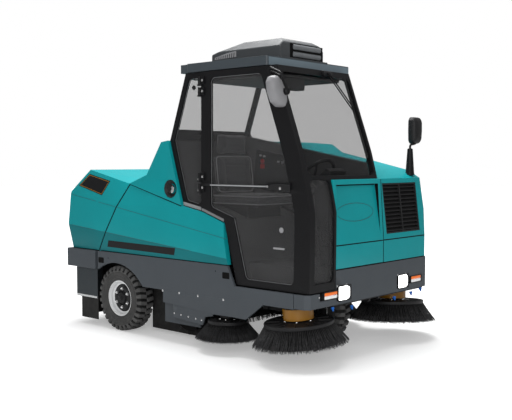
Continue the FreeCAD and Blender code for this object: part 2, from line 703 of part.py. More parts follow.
def hopper_bin():
    """Sheet-steel bin under the cover, with its mouth towards the main brush."""
    inner = inset(cover_outline(), COVER_WALL)
    rear_x = hopper_bin_rear()
    front_x = hopper_hinge()[0] - CROSS_MEMBER_LENGTH / 2
    neck_z = SKIRT_TOP_Z + BIN_NECK
    outer = join([
        prism_xz(inner, -BIN_HALF_WIDTH, BIN_HALF_WIDTH),
        block(rear_x, front_x, -BIN_HALF_WIDTH, BIN_HALF_WIDTH, BIN_BOTTOM_Z, neck_z),
    ])
    half = BIN_HALF_WIDTH - BIN_WALL
    hollow = prism_xz(inset(inner, BIN_WALL), -half, half)
    belly = block(rear_x + BIN_WALL, front_x - BIN_WALL, -half, half,
                  BIN_BOTTOM_Z + BIN_WALL, neck_z - BIN_WALL)
    mouth = block(front_x - CUT_OVERRUN, front_x + CUT_OVERRUN, -half, half,
                  BIN_BOTTOM_Z + BIN_WALL, BIN_MOUTH_TOP_Z)
    return less(outer, hollow, belly, mouth)


def rear_bumper():
    """Grey box section that wraps round the hopper's rear, with pockets for the tail lamps."""
    front_x = BODY_REAR + REAR_BUMPER_LENGTH
    outer = block(BODY_REAR, front_x, -BODY_HALF, BODY_HALF, REAR_BUMPER_BOTTOM_Z, SKIRT_TOP_Z)
    inner_half = BODY_HALF - REAR_BUMPER_DEPTH
    inner = block(BODY_REAR + REAR_BUMPER_DEPTH, front_x + CUT_OVERRUN, -inner_half, inner_half,
                  REAR_BUMPER_BOTTOM_Z - CUT_OVERRUN, SKIRT_TOP_Z + CUT_OVERRUN)
    tie = block(BODY_REAR + REAR_BUMPER_DEPTH, hopper_bin_rear(), -BIN_HALF_WIDTH, BIN_HALF_WIDTH,
                REAR_BUMPER_BOTTOM_Z, REAR_BUMPER_BOTTOM_Z + COVER_WALL)
    return less(join([less(outer, inner), tie]), tail_lamps())


def hopper_bin_rear():
    """Rear face of the bin below the cover."""
    inner = inset(cover_outline(), COVER_WALL)
    return min(x for x, z in inner) + BIN_SETBACK


def tail_lamps():
    outer_y = BODY_HALF - TAIL_LAMP_EDGE
    lamp = block(BODY_REAR, BODY_REAR + TAIL_LAMP_DEPTH, outer_y - TAIL_LAMP_LENGTH, outer_y,
                 TAIL_LAMP_Z, TAIL_LAMP_Z + TAIL_LAMP_HEIGHT)
    return both_sides(lamp)


def hopper_plates():
    """Steel plates that hang below the rear bumper at both sides and across the rear."""
    rear_x = BODY_REAR + PLATE_SETBACK
    front_x = REAR_AXLE_X - TYRE_RADIUS - RUN_GAP
    y = BODY_HALF - PLATE_INSET
    side = block(rear_x, front_x, y - SIDE_PLATE_THICKNESS, y,
                 SIDE_PLATE_BOTTOM_Z, REAR_BUMPER_BOTTOM_Z)
    back = block(rear_x, rear_x + SIDE_PLATE_THICKNESS, -y, y,
                 SIDE_PLATE_BOTTOM_Z, REAR_BUMPER_BOTTOM_Z)
    return join([side, mirrored(side), back])


def hopper_flaps():
    """Rubber flaps bolted inside the lower edge of those plates."""
    rear_x = BODY_REAR + PLATE_SETBACK + SIDE_PLATE_THICKNESS
    front_x = REAR_AXLE_X - TYRE_RADIUS - RUN_GAP
    y = BODY_HALF - PLATE_INSET - SIDE_PLATE_THICKNESS
    top = SIDE_PLATE_BOTTOM_Z + FLAP_LAP
    side = block(rear_x + FLAP_SETBACK, front_x, y - FLAP_THICKNESS, y, FLAP_BOTTOM_Z, top)
    back = block(rear_x, rear_x + FLAP_THICKNESS, -y + FLAP_SETBACK, y - FLAP_SETBACK,
                 FLAP_BOTTOM_Z, top)
    return Part.makeCompound([side, mirrored(side), back])


def skirt_plate(outline):
    """One lower side plate with its wheel arch cut out."""
    plate = prism_xz(outline, -BODY_HALF, -BODY_HALF + SHEET)
    rear, crown, front = [vec(x, 0, z) for x, z in side_points(ARCH_SHARES)]
    arc = Part.Arc(rear, crown, front).toShape()
    below = [vec(front.x, 0, 0), vec(rear.x, 0, 0)]
    sides = Part.makePolygon([front] + below + [rear])
    arch = Part.Face(Part.Wire([arc] + sides.Edges)).extrude(vec(0, BODY_WIDTH, 0))
    arch.translate(vec(0, -BODY_WIDTH, 0))
    return plate.cut(arch)


def side_skirts():
    """Grey lower side plates with the wheel arch and the low corner.

    The right one steps down to the sill of the cab door."""
    rear = side_points(SKIRT_REAR_SHARES)
    front_x = BODY_FRONT - BUMPER_REACH - PANEL_SEAM / 2
    low_rear, low_front, low_end = [side_x(share) for share in SKIRT_LOW_SHARES]
    lower = rear + [
        (low_rear, SKIRT_BOTTOM_Z), (low_rear, SKIRT_LOW_Z), (low_front, SKIRT_LOW_Z),
        (low_end, SKIRT_BOTTOM_Z), (front_x, SKIRT_BOTTOM_Z),
    ]
    sill = [
        (front_x, SILL_Z), (side_x(SILL_START_SHARE), SILL_Z),
        (side_x(PANEL_FRONT_SHARE[0]), SKIRT_TOP_Z),
    ]
    rear_top = (rear[0][0], SKIRT_TOP_Z)
    right = skirt_plate(lower + sill + [rear_top])
    left = skirt_plate(lower + [(front_x, SKIRT_TOP_Z), rear_top])
    return Part.makeCompound([right, mirrored(left)])


def front_bumper():
    """Grey bumper that wraps round both front corners, with lamp recesses."""
    reach_x = BODY_FRONT - BUMPER_REACH + PANEL_SEAM / 2
    plan = [
        (reach_x, -BODY_HALF), (BODY_FRONT - CORNER_CHAMFER, -BODY_HALF),
        (BODY_FRONT, -BODY_HALF + CORNER_CHAMFER), (BODY_FRONT, BODY_HALF - CORNER_CHAMFER),
        (BODY_FRONT - CORNER_CHAMFER, BODY_HALF), (reach_x, BODY_HALF),
    ]
    inner = [
        (reach_x - CUT_OVERRUN, -BODY_HALF + SHEET),
        (BODY_FRONT - CORNER_CHAMFER - SHEET / 2, -BODY_HALF + SHEET),
        (BODY_FRONT - SHEET, -BODY_HALF + CORNER_CHAMFER + SHEET / 2),
        (BODY_FRONT - SHEET, BODY_HALF - CORNER_CHAMFER - SHEET / 2),
        (BODY_FRONT - CORNER_CHAMFER - SHEET / 2, BODY_HALF - SHEET),
        (reach_x - CUT_OVERRUN, BODY_HALF - SHEET),
    ]
    shell = less(prism_xy(plan, SKIRT_BOTTOM_Z + PANEL_SEAM, SKIRT_TOP_Z),
                 prism_xy(inner, SKIRT_BOTTOM_Z - CUT_OVERRUN, SKIRT_TOP_Z + CUT_OVERRUN))
    under_cab = block(reach_x - CUT_OVERRUN, BODY_FRONT + CUT_OVERRUN, -BODY_WIDTH, COWL_RIGHT_Y,
                      SILL_Z, SKIRT_TOP_Z + CUT_OVERRUN)
    return less(shell, under_cab, head_lamps())


def head_lamps():
    """Head lamps and indicators, each a block set through the bumper's face."""
    lamps = []
    rear_x = BODY_FRONT - SHEET - LAMP_BACK
    face_x = BODY_FRONT + LAMP_PROUD
    for y, length, height, z in (
            (HEAD_LAMP_Y, HEAD_LAMP_LENGTH, HEAD_LAMP_HEIGHT, LAMP_Z),
            (INDICATOR_Y, INDICATOR_LENGTH, INDICATOR_HEIGHT, LAMP_Z)):
        lamps.append(block(rear_x, face_x, y - length / 2, y + length / 2,
                           z - height / 2, z + height / 2))
    return Part.makeCompound([both_sides(lamp) for lamp in lamps])


def side_panels():
    """Creased teal panels: the right one up to the cab door, the left one up to the hood."""
    right_front = side_points(SHOULDER_SHARES[1:] + [PANEL_FRONT_SHARE])
    seam = side_points(SEAM_SHARES)
    right = prism_xz(seam + right_front, -BODY_HALF, -BODY_HALF + PANEL_THICKNESS)
    hood_x = side_x(SHOULDER_SHARES[1][0])
    left_front = side_points(SHOULDER_SHARES[1:2]) + [(hood_x, side_z(PANEL_FRONT_SHARE[1]))]
    left = prism_xz(seam + left_front, BODY_HALF - PANEL_THICKNESS, BODY_HALF)
    foot_z = side_z(PANEL_FRONT_SHARE[1])
    rear_x = side_x(SEAM_SHARES[0][0]) + PANEL_SEAM
    y = BODY_HALF - SHEET
    foot = block(rear_x, hood_x - PANEL_SEAM, -y, -y + PANEL_FOOT, SKIRT_TOP_Z, foot_z)
    right = join([side_facets(right), foot])
    left = join([side_facets(left), mirrored(foot)])
    return Part.makeCompound([right, left])


def rear_fairing():
    """Teal deck behind the cab: sloping top, flat sides and the fixed hinge knuckles."""
    outline = side_points(FAIRING_SHARES + SHOULDER_SHARES[1:2])
    left = outline[:3] + [(side_x(SHOULDER_SHARES[1][0]), outline[2][1]), outline[4]]
    split_y = CAB_LEFT_Y + PANEL_SEAM
    half = FAIRING_HALF_WIDTH
    outer = join([prism_xz(outline, -half, split_y), prism_xz(left, split_y, half)])
    inner = join([
        prism_xz(inset(outline, FAIRING_WALL), -half + FAIRING_WALL, split_y),
        prism_xz(inset(left, FAIRING_WALL), split_y, half - FAIRING_WALL),
    ])
    x, z = side_points([FILLER_SHARE])[0]
    recess = rod((x, -half - CUT_OVERRUN, z), (x, -half + FILLER_DEPTH, z), FILLER_RADIUS)
    surface = outline[:2]
    pieces = [less(outer, inner, recess)]
    hinge_x, hinge_z = hopper_hinge()
    for low, high in hinge_spans():
        for start in (low - KNUCKLE_LENGTH - FIT_GAP, high + FIT_GAP):
            pieces.append(knuckle(start, start + KNUCKLE_LENGTH, 1, surface))
        pieces.append(rod((hinge_x, low - KNUCKLE_LENGTH, hinge_z),
                          (hinge_x, high + KNUCKLE_LENGTH, hinge_z), HOPPER_PIN_RADIUS))
    return join(pieces)


def filler_cap():
    """Cap and neck in the round recess of the deck's side."""
    x, z = side_points([FILLER_SHARE])[0]
    floor_y = -FAIRING_HALF_WIDTH + FILLER_DEPTH
    neck_y = floor_y - FILLER_DEPTH * FILLER_NECK_SHARE
    cap_y = floor_y - FILLER_DEPTH * FILLER_CAP_SHARE
    neck = rod((x, floor_y, z), (x, neck_y, z), FILLER_NECK_RADIUS)
    cap = rod((x, neck_y, z), (x, cap_y, z), FILLER_CAP_RADIUS)
    return join([neck, cap])


def cab_outline():
    return side_points(CAB_BASE_SHARES + CAB_FRONT_SHARES + CAB_REAR_SHARES)


def cab_skin(depth_out, depth_in, y_low, y_high):
    """Layer that follows the cab's side outline, between two depths inside it."""
    outline = cab_outline()
    outer = inset(outline, depth_out) if depth_out else outline
    return prism_xz(outer, y_low, y_high).cut(prism_xz(inset(outline, depth_in), y_low, y_high))


def cab_frame():
    """Black frame: a ring of pillars at each side, and the bars that join them."""
    skin = cab_skin(0, CAB_BAR, CAB_RIGHT_Y, CAB_LEFT_Y)
    low, high = CAB_RIGHT_Y, CAB_LEFT_Y
    rear_x = BODY_REAR
    mid_x = side_x(CAB_MIDDLE_SHARE)
    step_z = side_z(CAB_BASE_SHARES[2][1])
    bar_top = SCREEN_BAR_BOTTOM_Z + SCREEN_BAR_HEIGHT
    keep = [
        block(rear_x, BODY_FRONT + CAB_BAR, low, low + CAB_SIDE_BAR, 0, ROOF_TOP_Z),
        block(rear_x, mid_x, high - CAB_SIDE_BAR, high, step_z, ROOF_TOP_Z),
        block(mid_x, BODY_FRONT + CAB_BAR, high - CAB_SIDE_BAR, high, SCREEN_BAR_BOTTOM_Z,
              ROOF_TOP_Z),
        block(rear_x, BODY_FRONT, low, high, SCREEN_TOP_Z, ROOF_TOP_Z),
        block(mid_x, BODY_FRONT + CAB_BAR, low, high, SCREEN_BAR_BOTTOM_Z, bar_top),
        block(BODY_FRONT - CAB_BAR, BODY_FRONT, low, COWL_RIGHT_Y - FIT_GAP, SILL_Z,
              SILL_Z + CAB_BAR + SHEET),
        block(mid_x, BODY_FRONT, COWL_RIGHT_Y - CAB_SIDE_BAR, COWL_RIGHT_Y - FIT_GAP,
              SILL_Z + CAB_BAR + SHEET, bar_top),
        block(rear_x, side_x(CAB_REAR_SHARES[0][0]), low, high, REAR_WALL_TOP_Z, REAR_WINDOW_BOTTOM_Z),
    ]
    frame = skin.common(join(keep))
    return frame.removeSplitter()


def screen_layer(y_low, y_high):
    return cab_skin(GLASS_INSET, GLASS_INSET + GLASS, y_low, y_high)


def windscreen():
    mid_x = side_x(CAB_MIDDLE_SHARE)
    low, high = CAB_RIGHT_Y + CAB_SIDE_BAR, CAB_LEFT_Y - CAB_SIDE_BAR
    bar_top = SCREEN_BAR_BOTTOM_Z + SCREEN_BAR_HEIGHT
    return screen_layer(low, high).common(
        block(mid_x, BODY_FRONT + CAB_BAR, low, high, bar_top, SCREEN_TOP_Z))


def left_sill_space():
    """All that lies above the left window's sill, which falls towards the front."""
    return prism_xz([
        (BODY_REAR, LEFT_SILL_BACK_Z), (BODY_FRONT, LEFT_SILL_FRONT_Z),
        (BODY_FRONT, ROOF_TOP_Z), (BODY_REAR, ROOF_TOP_Z),
    ], CAB_RIGHT_Y, CAB_LEFT_Y)


def side_windows():
    """Low front pane, rear pane, left pane and the quarter pane behind the door."""
    mid_x = side_x(CAB_MIDDLE_SHARE)
    low, high = CAB_RIGHT_Y + CAB_SIDE_BAR, CAB_LEFT_Y - CAB_SIDE_BAR
    front = screen_layer(low, COWL_RIGHT_Y - CAB_SIDE_BAR).common(
        block(mid_x, BODY_FRONT + CAB_BAR, low, high, SILL_Z + CAB_BAR + SHEET, SCREEN_BAR_BOTTOM_Z))
    rear = screen_layer(low, high).common(
        block(BODY_REAR, side_x(CAB_REAR_SHARES[0][0]), low, high, REAR_WINDOW_BOTTOM_Z, SCREEN_TOP_Z))
    opening = inset(cab_outline(), CAB_BAR)
    left = prism_xz(opening, CAB_LEFT_Y - GLASS_INSET - GLASS, CAB_LEFT_Y - GLASS_INSET)
    left = left.common(left_sill_space())
    post_x = side_x(POST_SHARE)
    quarter = prism_xz(opening, CAB_RIGHT_Y + GLASS_INSET, CAB_RIGHT_Y + GLASS_INSET + GLASS).common(
        block(BODY_REAR, post_x - CAB_BAR / 2, -BODY_HALF, low, SKIRT_TOP_Z, SCREEN_TOP_Z))
    return Part.makeCompound([front, rear, left, quarter])


def cab_tub():
    """Stepped floor, rear wall and left wall, with the hump over the steered wheel."""
    mid_x = side_x(CAB_MIDDLE_SHARE)
    low, high = CAB_RIGHT_Y + CAB_SIDE_BAR, CAB_LEFT_Y - CAB_SIDE_BAR
    layer = cab_skin(0, FLOOR_THICKNESS, low, high)
    front = block(mid_x, BODY_FRONT, low, high, SILL_Z + CAB_BAR / 2, ROOF_TOP_Z)
    upper = block(BODY_REAR, BODY_FRONT, low, high, REAR_WALL_TOP_Z, ROOF_TOP_Z)
    fore = block(BODY_FRONT - CAB_BAR, BODY_FRONT, low, high, 0, ROOF_TOP_Z)
    floor = less(layer, front, upper, fore)
    dash_x = BODY_FRONT - COWL_LEAN - COWL_THICKNESS - FIT_GAP
    wall = prism_xz(inset(cab_outline(), CAB_BAR), high - FLOOR_THICKNESS, high)
    wall = less(wall, left_sill_space(),
                block(dash_x, BODY_FRONT, low, high, 0, COWL_TOP_Z + FIT_GAP))
    rear_x, front_x = FRONT_AXLE_X - WELL_RADIUS, FRONT_AXLE_X + WELL_RADIUS
    well_y = -RAIL_OUTER_Y - RUN_GAP
    hump = block(rear_x - FLOOR_THICKNESS, front_x + FLOOR_THICKNESS, well_y - FLOOR_THICKNESS, high,
                 0, WELL_TOP_Z + FLOOR_THICKNESS)
    hump = hump.common(prism_xz(cab_outline(), low, high))
    well = block(rear_x, front_x, well_y, CAB_LEFT_Y + CAB_BAR, 0, WELL_TOP_Z)
    return less(join([floor, wall, hump]), well)


def cab_roof():
    """Slate roof slab with rounded corners and a narrower lip behind."""
    rear_x, front_x = side_x(ROOF_REAR_SHARE), side_x(ROOF_FRONT_SHARE)
    slab = block(rear_x, front_x, ROOF_RIGHT_Y, ROOF_LEFT_Y,
                 ROOF_TOP_Z - ROOF_THICKNESS, ROOF_TOP_Z)
    upright = [edge for edge in slab.Edges
               if abs(edge.Length - ROOF_THICKNESS) < 0.001]
    slab = slab.makeFillet(ROOF_CORNER_RADIUS, upright)
    lip = block(rear_x - ROOF_REAR_LIP, rear_x + SHEET, CAB_RIGHT_Y, CAB_LEFT_Y,
                ROOF_TOP_Z - ROOF_THICKNESS, ROOF_TOP_Z)
    return join([slab, lip])


def post_piece():
    """Door post between the quarter pane and the door, part of the right ring."""
    post_x = side_x(POST_SHARE)
    opening = inset(cab_outline(), CAB_BAR)
    return prism_xz(opening, CAB_RIGHT_Y, CAB_RIGHT_Y + CAB_SIDE_BAR).common(
        block(post_x - CAB_BAR / 2, post_x + CAB_BAR / 2, -BODY_HALF, 0, 0, ROOF_TOP_Z))


def door_outline():
    """Door leaf: from the post forwards, a gap inside the sill, panel and roof."""
    rear_x = side_x(POST_SHARE) + DOOR_GAP
    base = side_points(CAB_BASE_SHARES[1:])
    start_z = line_height(base[:2], rear_x) + DOOR_GAP
    top_z = ROOF_TOP_Z - ROOF_THICKNESS - DOOR_GAP
    front = [(x, min(z, top_z)) for x, z in side_points(CAB_FRONT_SHARES)]
    lower = [(x + DOOR_GAP, z + DOOR_GAP) for x, z in base[1:]]
    return [(rear_x, start_z)] + lower + front + [(rear_x, top_z)]


def door_hinge_line():
    """Plan place of the door's upright hinge pins, outside the leaf's rear edge."""
    x = side_x(POST_SHARE)
    y = CAB_RIGHT_Y - DOOR_THICKNESS - HINGE_RADIUS - HINGE_CLEARANCE
    return (x, y)


def door_planes():
    outer = CAB_RIGHT_Y - DOOR_THICKNESS
    inner = CAB_RIGHT_Y - FIT_GAP
    return outer, inner


def hinge_heights():
    return [side_z(share) for share in HINGE_HEIGHT_SHARES]


def door_window(y_low, y_high):
    """Window space of the door between its wide rear and front stiles."""
    window = prism_xz(inset(door_outline(), DOOR_BAR), y_low, y_high)
    space = window
    for distance in (DOOR_REAR_STILE, -DOOR_FRONT_STILE):
        beside = window.copy()
        beside.translate(vec(distance, 0, 0))
        space = space.common(beside)
    return space


def door_frame():
    """Black frame of the door with its knuckles, grab rod and handle."""
    outer_y, inner_y = door_planes()
    leaf = prism_xz(door_outline(), outer_y, inner_y)
    x, y = door_hinge_line()
    pieces = [leaf.cut(door_window(outer_y - CUT_OVERRUN, inner_y + CUT_OVERRUN))]
    for z in hinge_heights():
        barrel = Part.makeCylinder(HINGE_RADIUS, HINGE_LENGTH, vec(x, y, z))
        plate = block(x, x + DOOR_BAR, y, outer_y, z, z + HINGE_LENGTH)
        pieces.append(join([barrel, plate]))
    bar_z = side_z(HANDLE_HEIGHT_SHARE)
    handle_x = side_x(HANDLE_SHARES[0])
    handle_end = side_x(HANDLE_SHARES[1])
    rod_y = outer_y - GRAB_RADIUS / 2
    pieces.append(rod((x + DOOR_BAR, rod_y, bar_z), (handle_x + DOOR_BAR, rod_y, bar_z), GRAB_RADIUS))
    pieces.append(block(handle_x, handle_end, outer_y - HANDLE_THICKNESS, outer_y,
                        bar_z - HANDLE_THICKNESS, bar_z + HANDLE_RISE))
    bores = [Part.makeCylinder(HINGE_PIN_RADIUS + SHAFT_FIT, HINGE_LENGTH + CUT_OVERRUN * 2,
                               vec(x, y, z - CUT_OVERRUN)) for z in hinge_heights()]
    return less(join(pieces), *bores)


def door_glass():
    middle = sum(door_planes()) / 2
    return door_window(middle - GLASS / 2, middle + GLASS / 2)


def door_pins():
    """Fixed half of the door hinges: a pin through each knuckle with its foot on the post."""
    x, y = door_hinge_line()
    pieces = []
    for z in hinge_heights():
        low = z - HINGE_RADIUS
        pin = Part.makeCylinder(HINGE_PIN_RADIUS, HINGE_LENGTH + HINGE_RADIUS, vec(x, y, low))
        collar = Part.makeCylinder(HINGE_RADIUS, HINGE_RADIUS - FIT_GAP, vec(x, y, low))
        foot = block(x - CAB_BAR / 2, x, y, CAB_RIGHT_Y, low, z - FIT_GAP)
        pieces.append(join([pin, collar, foot]))
    return pieces


def mirror_right():
    """Mirror on a bent arm from the top front corner of the door."""
    outer_y, inner_y = door_planes()
    x, z = side_points([MIRROR_ARM_SHARE])[0]
    head_x, head_z = side_points([MIRROR_SHARE])[0]
    y = outer_y - MIRROR_OUT
    arm = rod_chain([(x, outer_y, z), (x, y, z), (head_x, y, head_z)], ARM_RADIUS)
    return join([arm, mirror_head(head_x, y, head_z)])


def mirror_head(x, y, z):
    """Upright rounded housing, wider than deep."""
    half = MIRROR_WIDTH / 2
    low = z - MIRROR_HEIGHT * MIRROR_DROP_SHARE
    head = block(x - MIRROR_DEPTH / 2, x + MIRROR_DEPTH / 2, y - half, y + half,
                 low, low + MIRROR_HEIGHT)
    return head.makeFillet(MIRROR_DEPTH * MIRROR_ROUNDING_SHARE, head.Edges)


def mirror_left():
    """Mirror on a tapered post and bent tube, standing on the engine hood."""
    x, z = side_points([LEFT_POST_SHARE])[0]
    y = LEFT_POST_Y
    base = hood_top_height(x)
    post = Part.makeCone(POST_FOOT_RADIUS, POST_TIP_RADIUS, z - base + POST_SINK,
                         vec(x, y, base - POST_SINK))
    post = post.cut(hood_solid())
    out_y = y + LEFT_MIRROR_OUT
    head_z = z + MIRROR_HEIGHT * MIRROR_DROP_SHARE
    arm = rod_chain([(x, y, z), (x, out_y, z + POST_FOOT_RADIUS), (x, out_y, head_z)], ARM_RADIUS)
    return join([post, arm, mirror_head(x, out_y, head_z)])


def hood_outline():
    hood_x = side_x(SHOULDER_SHARES[1][0]) + PANEL_SEAM
    foot_z = side_z(PANEL_FRONT_SHARE[1])
    front = [(BODY_FRONT, foot_z), (BODY_FRONT, LOWER_PANEL_TOP_Z)]
    top = side_points(HOOD_TOP_SHARES)
    rear = [(hood_x, top[-1][1]), (hood_x, foot_z)]
    return front + top + rear


def hood_top_height(x):
    top = side_points(HOOD_TOP_SHARES)
    for front, rear in zip(top, top[1:]):
        if rear[0] <= x <= front[0]:
            return line_height([front, rear], x)
    return top[-1][1]


def hood_solid():
    """Outer form of the engine hood: leaning front and side, and a chamfered corner."""
    form = side_facets(prism_xz(hood_outline(), HOOD_RIGHT_Y, BODY_HALF), HOOD_LEAN_SHARE)
    corner = prism_xy([
        (BODY_FRONT - HOOD_CORNER, BODY_HALF), (BODY_FRONT, BODY_HALF - HOOD_CORNER),
        (BODY_FRONT + HOOD_CORNER, BODY_HALF), (BODY_FRONT, BODY_HALF + HOOD_CORNER),
    ], 0, ROOF_TOP_Z)
    return less(form, corner)


def grille_opening(depth_low, depth_high):
    """Slanted opening through the hood's front face."""
    face = side_points(HOOD_TOP_SHARES[:1])[0]
    slope = [(LOWER_PANEL_TOP_Z, BODY_FRONT), (face[1], face[0])]
    low_x = line_height(slope, GRILLE_BOTTOM_Z)
    high_x = line_height(slope, GRILLE_TOP_Z)
    points = [
        (low_x - depth_low, GRILLE_BOTTOM_Z), (high_x - depth_low, GRILLE_TOP_Z),
        (high_x - depth_high, GRILLE_TOP_Z), (low_x - depth_high, GRILLE_BOTTOM_Z),
    ]
    return prism_xz(points, GRILLE_RIGHT_Y, GRILLE_LEFT_Y)


def engine_hood():
    """Teal hood over the engine, open below, with the grille and service openings."""
    outline = hood_outline()
    hollow = prism_xz(inset(outline, HOOD_WALL), HOOD_RIGHT_Y + HOOD_WALL, BODY_HALF)
    hollow = hollow.common(shifted(hood_solid(), -HOOD_WALL))
    foot_z = outline[0][1]
    below = block(outline[-1][0] + HOOD_WALL, BODY_FRONT - HOOD_LIP, HOOD_RIGHT_Y + HOOD_WALL,
                  BODY_HALF - HOOD_WALL - HOOD_CORNER, foot_z - CUT_OVERRUN, foot_z + HOOD_LIP)
    shell = less(hood_solid(), hollow, below, grille_opening(-CUT_OVERRUN, HOOD_LIP),
                 service_opening(0))
    foot_y = BODY_HALF - SHEET - PANEL_SEAM
    foot = block(outline[-1][0] + HOOD_WALL, BODY_FRONT - BUMPER_REACH, foot_y,
                 foot_y + PANEL_FOOT, SKIRT_TOP_Z, foot_z)
    return join([shell, foot])


def service_outline():
    """Side-view outline of the service door's opening, level with the upper crease."""
    crease = side_points(CREASE_SHARES)
    rear_x, front_x = [side_x(share) for share in SERVICE_SHARES]
    low = [(x, line_height(crease, x) + SERVICE_RISE) for x in (rear_x, front_x)]
    high = [(x, z + SERVICE_HEIGHT) for x, z in low[::-1]]
    return low + high


def service_opening(gap):
    """Space of the service door in the hood's left side."""
    outline = inset(service_outline(), gap) if gap else service_outline()
    return prism_xz(outline, BODY_HALF - SERVICE_DEPTH, BODY_HALF + CUT_OVERRUN)


def engine_door():
    """Service door in the hood's left side, hinged along its top edge."""
    skin = less(hood_solid(), shifted(hood_solid(), -HOOD_WALL))
    pieces = [skin.common(service_opening(DOOR_GAP))]
    bores = []
    for x in service_hinge_places():
        barrel, plate = service_knuckle(x, x + HINGE_LENGTH, -1)
        pieces.append(join([barrel, plate]))
        bores.append(service_rod(x - CUT_OVERRUN, x + HINGE_LENGTH + CUT_OVERRUN,
                                 HINGE_PIN_RADIUS + SHAFT_FIT))
    return less(join(pieces), *bores)


def shifted(shape, distance):
    """A copy moved across the machine."""
    copy = shape.copy()
    copy.translate(vec(0, distance, 0))
    return copy


def service_axis(x):
    """Point of the service door's hinge line at a place along the machine."""
    rise = SERVICE_RISE + SERVICE_HEIGHT
    y = BODY_HALF - rise * HOOD_LEAN_SHARE + HINGE_RADIUS + HINGE_CLEARANCE
    return (x, y, line_height(side_points(CREASE_SHARES), x) + rise)


def service_rod(x_low, x_high, radius):
    return rod(service_axis(x_low), service_axis(x_high), radius)


def service_knuckle(x_low, x_high, direction):
    """Hinge barrel and its plate, below the hinge line on the door or above it on the hood."""
    barrel = service_rod(x_low, x_high, HINGE_RADIUS)
    near, far = [direction * share * HINGE_RADIUS for share in SERVICE_PLATE_SHARES]
    corners = []
    for x, rise in ((x_low, near), (x_high, near), (x_high, far), (x_low, far)):
        x_hinge, y, z = service_axis(x)
        corners.append(vec(x_hinge, y - abs(near) - rise * HOOD_LEAN_SHARE, z + rise))
    face = Part.Face(Part.makePolygon(corners + corners[:1]))
    plate = face.extrude(vec(0, -SERVICE_PLATE_DEPTH, 0))
    return barrel, plate.cut(hood_solid())


def service_hinge_places():
    """Rear end of each hinge of the service door."""
    rear_x, front_x = [side_x(share) for share in SERVICE_SHARES]
    return [rear_x + SERVICE_HINGE_INSET, front_x - SERVICE_HINGE_INSET - HINGE_LENGTH]


def service_pins():
    """Fixed pins of the service door's hinges, with a lug on the hood at each end."""
    pieces = []
    for start in service_hinge_places():
        end = start + HINGE_LENGTH
        parts = [service_rod(start - HINGE_RADIUS, end + HINGE_RADIUS, HINGE_PIN_RADIUS)]
        for low, high in ((start - HINGE_RADIUS, start - SERVICE_END_GAP),
                          (end + SERVICE_END_GAP, end + HINGE_RADIUS)):
            parts.extend(service_knuckle(low, high, 1))
        pieces.append(join(parts))
    return pieces


def radiator_grille():
    """Black louvres in a border, split by a middle bar."""
    opening = grille_opening(0, HOOD_WALL)
    middle = (GRILLE_RIGHT_Y + GRILLE_LEFT_Y) / 2
    half = GRILLE_BORDER / 2
    keep = [
        block(0, BODY_FRONT, GRILLE_RIGHT_Y, GRILLE_RIGHT_Y + GRILLE_BORDER, 0, ROOF_TOP_Z),
        block(0, BODY_FRONT, GRILLE_LEFT_Y - GRILLE_BORDER, GRILLE_LEFT_Y, 0, ROOF_TOP_Z),
        block(0, BODY_FRONT, middle - half, middle + half, 0, ROOF_TOP_Z),
        block(0, BODY_FRONT, GRILLE_RIGHT_Y, GRILLE_LEFT_Y, 0, GRILLE_BOTTOM_Z + GRILLE_BORDER),
        block(0, BODY_FRONT, GRILLE_RIGHT_Y, GRILLE_LEFT_Y, GRILLE_TOP_Z - GRILLE_BORDER,
              ROOF_TOP_Z),
    ]
    pitch = (GRILLE_TOP_Z - GRILLE_BOTTOM_Z) / (SLAT_COUNT + 1)
    for index in range(SLAT_COUNT):
        z = GRILLE_BOTTOM_Z + pitch * (index + 1)
        keep.append(block(0, BODY_FRONT, GRILLE_RIGHT_Y, GRILLE_LEFT_Y,
                          z - SLAT_THICKNESS, z + SLAT_THICKNESS))
    return opening.common(join(keep)).removeSplitter()


def engine_block():
    """Plain block in the engine's place, on the bridge over the steered wheel."""
    rear_x, front_x = [side_x(share) for share in ENGINE_SHARES]
    return block(rear_x, front_x, HOOD_RIGHT_Y + ENGINE_GAP, RAIL_OUTER_Y,
                 BRIDGE_TOP_Z, BRIDGE_TOP_Z + ENGINE_HEIGHT)


def front_cowl():
    """Teal cowl right of the hood: a low panel and a raised-border panel above it."""
    foot_z = side_z(PANEL_FRONT_SHARE[1])
    profile = [
        (BODY_FRONT, foot_z), (BODY_FRONT, LOWER_PANEL_TOP_Z), (BODY_FRONT - COWL_LEAN, COWL_TOP_Z),
        (BODY_FRONT - COWL_LEAN - COWL_THICKNESS, COWL_TOP_Z),
        (BODY_FRONT - COWL_THICKNESS, LOWER_PANEL_TOP_Z), (BODY_FRONT - COWL_THICKNESS, foot_z),
    ]
    panel = prism_xz(profile, COWL_RIGHT_Y, HOOD_RIGHT_Y - FIT_GAP)
    low_z, high_z = LOWER_PANEL_TOP_Z + COWL_BORDER, COWL_TOP_Z - COWL_BORDER
    face = [(LOWER_PANEL_TOP_Z, BODY_FRONT), (COWL_TOP_Z, BODY_FRONT - COWL_LEAN)]
    recess = prism_xz([
        (line_height(face, low_z), low_z), (BODY_FRONT, low_z), (BODY_FRONT, high_z),
        (line_height(face, high_z) - COWL_RECESS, high_z),
    ], COWL_RIGHT_Y + COWL_BORDER, HOOD_RIGHT_Y - COWL_BORDER)
    panel = panel.cut(recess)
    foot = block(BODY_FRONT - COWL_THICKNESS, BODY_FRONT - COWL_THICKNESS / 2,
                 COWL_RIGHT_Y, HOOD_RIGHT_Y - FIT_GAP, SKIRT_TOP_Z - SHEET, foot_z)
    return join([panel, foot])


